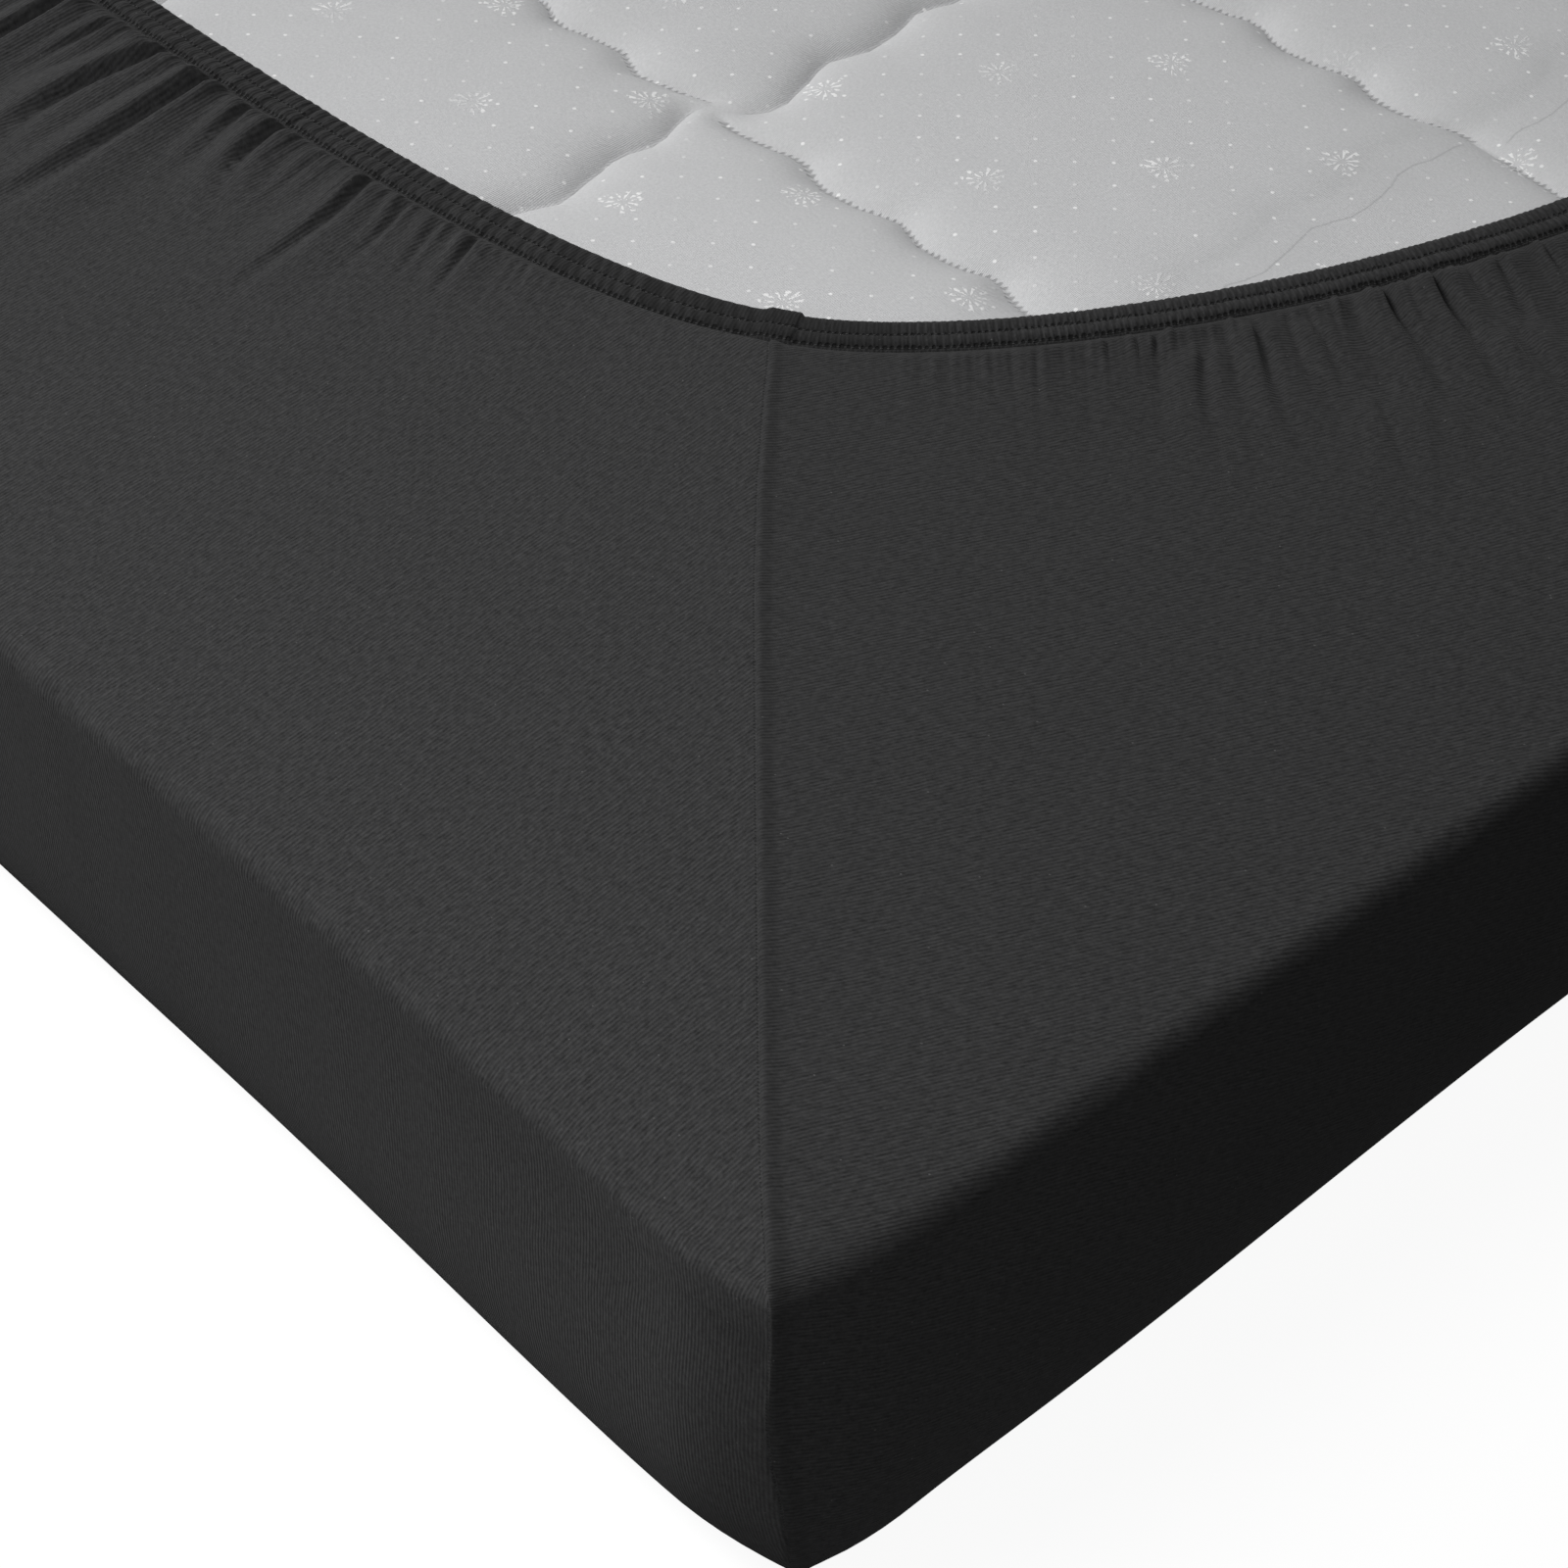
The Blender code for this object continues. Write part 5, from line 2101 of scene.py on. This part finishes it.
@dataclass(frozen=True)
class TickingFinish:
    """Pale grey knitted ticking with small white dots and sprigs, and stitched quilting lines with
    painted shade in their needle marks and creases.
    """

    name: str
    groups: EffectGroups
    dark: Colour = (0.526, 0.529, 0.536, 1.0)
    light: Colour = (0.652, 0.654, 0.660, 1.0)
    white: Colour = (0.90, 0.90, 0.90, 1.0)
    # the colour of the painted shade in the quilting lines' needle marks and creases
    quilting_painted_dark: Colour = (0.20, 0.20, 0.205, 1.0)
    knit_pitch: float = 0.00055
    knit_dash: float = 0.0012
    knit_waver: float = 0.4
    relief: float = 0.00012
    roughness: float = 0.85
    specular: float = 0.3
    sheen: float = 0.04
    # how strongly the print shows, varying with a noise: over what share of the noise, and the
    # faintest
    print_strength_range: Span = (0.38, 0.62)
    faintest: float = 0.30
    print_height: float = 0.6
    # the quilting's needle marks: pitch, radius and how much narrower than long they are
    needle_marks: tuple[float, float, float] = (0.0024, 0.00075, 0.7)
    # for each kind of quilting line, how dark the painted shade in its needle marks is, which also
    # sets their depth
    mark_depths: tuple[tuple[str, float], ...] = (("quilting_across", 0.60), ("quilting_along", 0.04))
    # painted shade along the quilting lines' creases: how wide, and how dark
    crease_width: float = 0.0006
    crease_painted_shade: float = 0.30
    # how far from a crossing the sewing fades out
    gap: Span = (0.0035, 0.0070)
    dot_cell: float = 0.0160
    dot_radius: float = 0.00062
    dot_edge: Span = (0.6, 1.3)
    dot_start: Span = (0.003, 0.005)
    sprig_step: Span = (0.068, 0.042)
    sprig_lean: float = 0.031
    sprig_start: Span = (-0.6283, -0.2158)
    sprig_size: float = 0.0075
    sprig_heart: Span = (0.0008, 0.0016)
    petals: float = 11.0

    def _dots(self, graph: Graph, x: Signal, y: Signal) -> Signal:
        """White dots in staggered rows.

        Args:
            graph: the material's graph.
            x: the place across.
            y: the place along.

        Returns:
            1 on the dots and 0 beside them.
        """
        dots = []
        for part in (0.0, 0.5):
            beside = [graph.math("FRACT", (value - start) / self.dot_cell + part) - 0.5
                      for value, start in zip((x, y), self.dot_start)]
            squares = beside[0] * beside[0] + beside[1] * beside[1]
            edge = [self.dot_radius * share for share in self.dot_edge]
            dots.append(graph.ease(graph.math("SQRT", squares) * self.dot_cell, *edge, 1.0, 0.0))
        return graph.math("MAXIMUM", *dots)

    def _sprigs(self, graph: Graph, x: Signal, y: Signal) -> Signal:
        """Sprigs of short strokes that spread from a point, in leaning rows.

        Args:
            graph: the material's graph.
            x: the place across.
            y: the place along.

        Returns:
            1 on the strokes and 0 beside them.
        """
        step, row_step = self.sprig_step
        row = (x - self.sprig_start[1]) / row_step
        column = (y - self.sprig_start[0] + row * self.sprig_lean) / step
        beside_row = (graph.math("FRACT", row + 0.5) - 0.5) * row_step
        beside = ((graph.math("FRACT", column + 0.5) - 0.5) * step
                  - beside_row * (self.sprig_lean / row_step))
        radius = graph.math("SQRT", beside * beside + beside_row * beside_row)
        angle = graph.math("ARCTAN2", beside, beside_row)
        strokes = graph.ease(graph.math("COSINE", angle * self.petals), -0.05, 0.55)
        where = graph.add("ShaderNodeCombineXYZ", {0: x, 1: y})
        broken = graph.ease(graph.noise(where, 760.0, 1.0), 0.42, 0.52)
        lobes = graph.math("COSINE", angle * 3.0) * 0.16 + 0.84
        inside = graph.ease(radius / (lobes * self.sprig_size), 0.88, 1.02, 1.0, 0.0)
        return strokes * broken * inside * graph.ease(radius, *self.sprig_heart)

    def build(self) -> Material:
        """The ticking's material.

        Returns:
            The material.
        """
        material, graph, shader = new_material(self.name, self.light)
        place = graph.map("ticking_place")
        x, y, _ = graph.split(place)
        knit = graph.group(self.groups.knit, Place=place, Pitch=self.knit_pitch,
                           Dash=self.knit_dash, Waver=self.knit_waver)
        mottle = graph.group(self.groups.mottle, Place=place, Patch=0.02, Depth=0.05,
                             Fleck_Size=0.0001)
        colour = graph.toned(graph.mix(knit["Shade"], self.dark, self.light), mottle["Tone"])
        print_strength = graph.ease(graph.noise(place, 38.0, 1.0), *self.print_strength_range, self.faintest, 1.0)
        print_mask = graph.math("MAXIMUM", self._dots(graph, x, y), self._sprigs(graph, x, y))
        colour = graph.mix(print_mask * print_strength, colour, self.white)
        height = print_mask * self.print_height + knit["Height"]
        pitch, radius, narrow = self.needle_marks
        for name, depth in self.mark_depths:
            run, away, _ = graph.split(graph.map(name))
            pits = graph.group(self.groups.needle_row, Run=run, Away=away * narrow, Pitch=pitch,
                               Radius=radius)["Pit"]
            beside = graph.split(graph.map(name + "_gap"))[0]
            sewn = graph.ease(graph.math("ABSOLUTE", beside), *self.gap)
            crease = graph.ease(graph.math("ABSOLUTE", away), 0.0, self.crease_width,
                                self.crease_painted_shade, 0.0)
            pits = pits * sewn
            # painted shade in the needle marks and along the crease
            mark = graph.math("MAXIMUM", pits * depth, crease * sewn)
            colour = graph.mix(mark, colour, self.quilting_painted_dark)
            height = height - pits * (3.0 * depth)
        graph.feed(shader, {"Base Color": colour, "Roughness": self.roughness,
                            "Specular IOR Level": self.specular, "Sheen Weight": self.sheen,
                            "Normal": graph.bump(height, self.relief)})
        return material


# ---- Studio ----


@dataclass
class Studio:
    """A plain pale floor, plain soft light and the photograph's camera."""

    block: WrappedBlock
    lens: float = 87.75
    sensor: float = 36.0
    camera_pitch: float = math.radians(43.05)
    camera_heading: float = math.radians(42.2)
    camera_height: float = 0.620
    camera_back: float = 0.5013
    camera_right: float = 0.0006
    aim_inset: float = 0.0007
    # the far key: its irradiance, spread, elevation and azimuth
    key_strength: float = 1.75
    key_spread: float = math.radians(20)
    key_elevation: float = math.radians(38)
    key_azimuth: float = math.radians(100)
    # places from the middle of the floor, power in watts, sizes across and up
    near_place: tuple[float, float, float] = (-0.800, -0.695, 0.894)
    near_power: float = 4.7
    near_size: Span = (0.45, 0.45)
    fill_place: tuple[float, float, float] = (-0.800, -1.360, 0.070)
    fill_power: float = 0.60
    fill_size: Span = (0.60, 0.08)
    sky_strength: float = 0.17
    # how high the sky's light sets in and is full, as the height of a direction one long
    sky_rise: Span = (-0.12, 0.20)
    white: Colour = (1.0, 1.0, 1.0, 1.0)
    floor_size: float = 14.0
    floor_gap: float = 0.0006
    floor_colour: Colour = (0.12, 0.12, 0.12, 1.0)
    floor_glow: float = 0.93

    def build(self) -> None:
        """Builds the floor, the light and the camera."""
        self._camera()
        self._key()
        self._soft_light("near_light", self.near_place, self.near_power, self.near_size)
        self._soft_light("fill_light", self.fill_place, self.fill_power, self.fill_size)
        self._sky()
        self._floor()
        bpy.context.scene.view_settings.view_transform = "Standard"

    def _corner(self, inset: float = 0.0) -> Vector:
        """The wrapped mattress's top corner at -X -Y, or a point so far inside it."""
        return Vector((inset - self.block.width / 2, inset - self.block.length / 2, self.block.height))

    def _camera(self) -> None:
        """Stands the camera over the corner at -X -Y, looking along the diagonal and down."""
        forward = Vector((math.sin(self.camera_heading), math.cos(self.camera_heading), 0.0))
        right = Vector((forward.y, -forward.x, 0.0))
        data = bpy.data.cameras.new("camera")
        data.lens = self.lens
        data.sensor_width = self.sensor
        camera = put_in_scene("camera", data)
        camera.location = (self._corner(self.aim_inset) - forward * self.camera_back
                           + right * self.camera_right + Vector((0.0, 0.0, self.camera_height)))
        camera.rotation_euler = (math.pi / 2 - self.camera_pitch, 0.0, -self.camera_heading)
        bpy.context.scene.camera = camera

    def _key(self) -> None:
        """A far soft light from the left."""
        data = bpy.data.lights.new("key_light", "SUN")
        data.energy = self.key_strength
        data.angle = self.key_spread
        level = math.cos(self.key_elevation)
        toward = Vector((math.cos(self.key_azimuth) * level, math.sin(self.key_azimuth) * level,
                         math.sin(self.key_elevation)))
        light = put_in_scene("key_light", data)
        light.rotation_euler = toward.to_track_quat("Z", "Y").to_euler()

    def _soft_light(self, name: str, place: tuple[float, float, float], power: float,
                    size: Span) -> None:
        """A broad soft light that faces the corner at -X -Y.

        Args:
            name: the light's name.
            place: where it stands.
            power: its power in watts.
            size: its width and height.
        """
        data = bpy.data.lights.new(name, "AREA")
        data.energy = power
        data.shape = "ELLIPSE"
        data.size, data.size_y = size
        light = put_in_scene(name, data)
        light.location = place
        light.rotation_euler = (light.location - self._corner()).to_track_quat("Z", "Y").to_euler()
        light.visible_camera = False

    def _sky(self) -> None:
        """Even light from above, and a white backdrop."""
        world = bpy.data.worlds.new("studio")
        world.use_nodes = True
        bpy.context.scene.world = world
        graph = Graph(world.node_tree)
        height = graph.split(graph.add("ShaderNodeTexCoord", output="Generated"))[2]
        above = graph.ease(height, *self.sky_rise, 0.0, self.sky_strength)
        seen = graph.add("ShaderNodeLightPath", output="Is Camera Ray")
        graph.feed(world.node_tree.nodes["Background"],
                   {"Strength": graph.math("MAXIMUM", above, seen), "Color": self.white})

    def _floor(self) -> None:
        """A white floor that shows only a faint shadow."""
        material, graph, shader = new_material("studio_floor", self.white)
        graph.feed(shader, {"Base Color": self.floor_colour, "Roughness": 1.0,
                            "Specular IOR Level": 0.0, "Emission Color": self.white,
                            "Emission Strength": self.floor_glow})
        half = self.floor_size / 2
        corners = np.array([(x * half, y * half, -self.floor_gap)
                            for x, y in ((-1, -1), (1, -1), (1, 1), (-1, 1))])
        floor = new_piece("studio_floor", corners, [[0, 1, 2, 3]], [material])
        floor.visible_diffuse = False
        floor.visible_glossy = False
        floor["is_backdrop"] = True


# ---- Everything together ----


@dataclass(frozen=True)
class CutSize:
    """The sheet's flat cut: a rectangle less the notches at its corners."""

    width: float = 1.70
    length: float = 2.70
    area: float = 3.85


def report(piece: Piece) -> None:
    """Logs a piece's size in triangles and in area.

    Args:
        piece: the piece.
    """
    mesh = piece.data
    mesh.calc_loop_triangles()
    area = sum(face.area for face in mesh.polygons)
    log.info("%s: %d triangles, %.2f square metres", piece.name, len(mesh.loop_triangles), area)


def main() -> None:
    """Builds the mattress, the sheet and the studio, and ties each piece to the frame."""
    logging.basicConfig(level=logging.INFO, format="%(message)s")
    block = WrappedBlock()
    groups = EffectGroups()
    Studio(block).build()

    mattress = QuiltedMattress().build(TickingFinish("ticking", groups).build())
    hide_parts("mattress")

    folds = HemFolds(block)
    panels = [JerseyFinish("jersey_long_panels", groups).panel(),
              # the short panels are a darker copy of the long panels' jersey: painted shade, for how
              # the light falls on their knit
              JerseyFinish("jersey_short_panels_painted_shade", groups, tone=0.80, pitch=0.00118).panel()]
    cloth = FittedSheet(block, folds, Undulation(), EdgeShape(block), SeamPath()).build(panels)
    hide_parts("fitted_sheet")

    band = HemBand(block, folds)
    hem = band.build(JerseyFinish("jersey_hem", groups, tone=0.74).hem(band))
    stitches = band.build_stitches(ThreadFinish("hem_thread", groups).build())
    for piece in (mattress, cloth, hem, stitches):
        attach(piece, BODY)
        report(piece)

    boxes = {"cad": CAD_BOX, "visual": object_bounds()}
    {name: [list(corner) for corner in box] for name, box in boxes.items()}


if __name__ == "__main__":
    main()
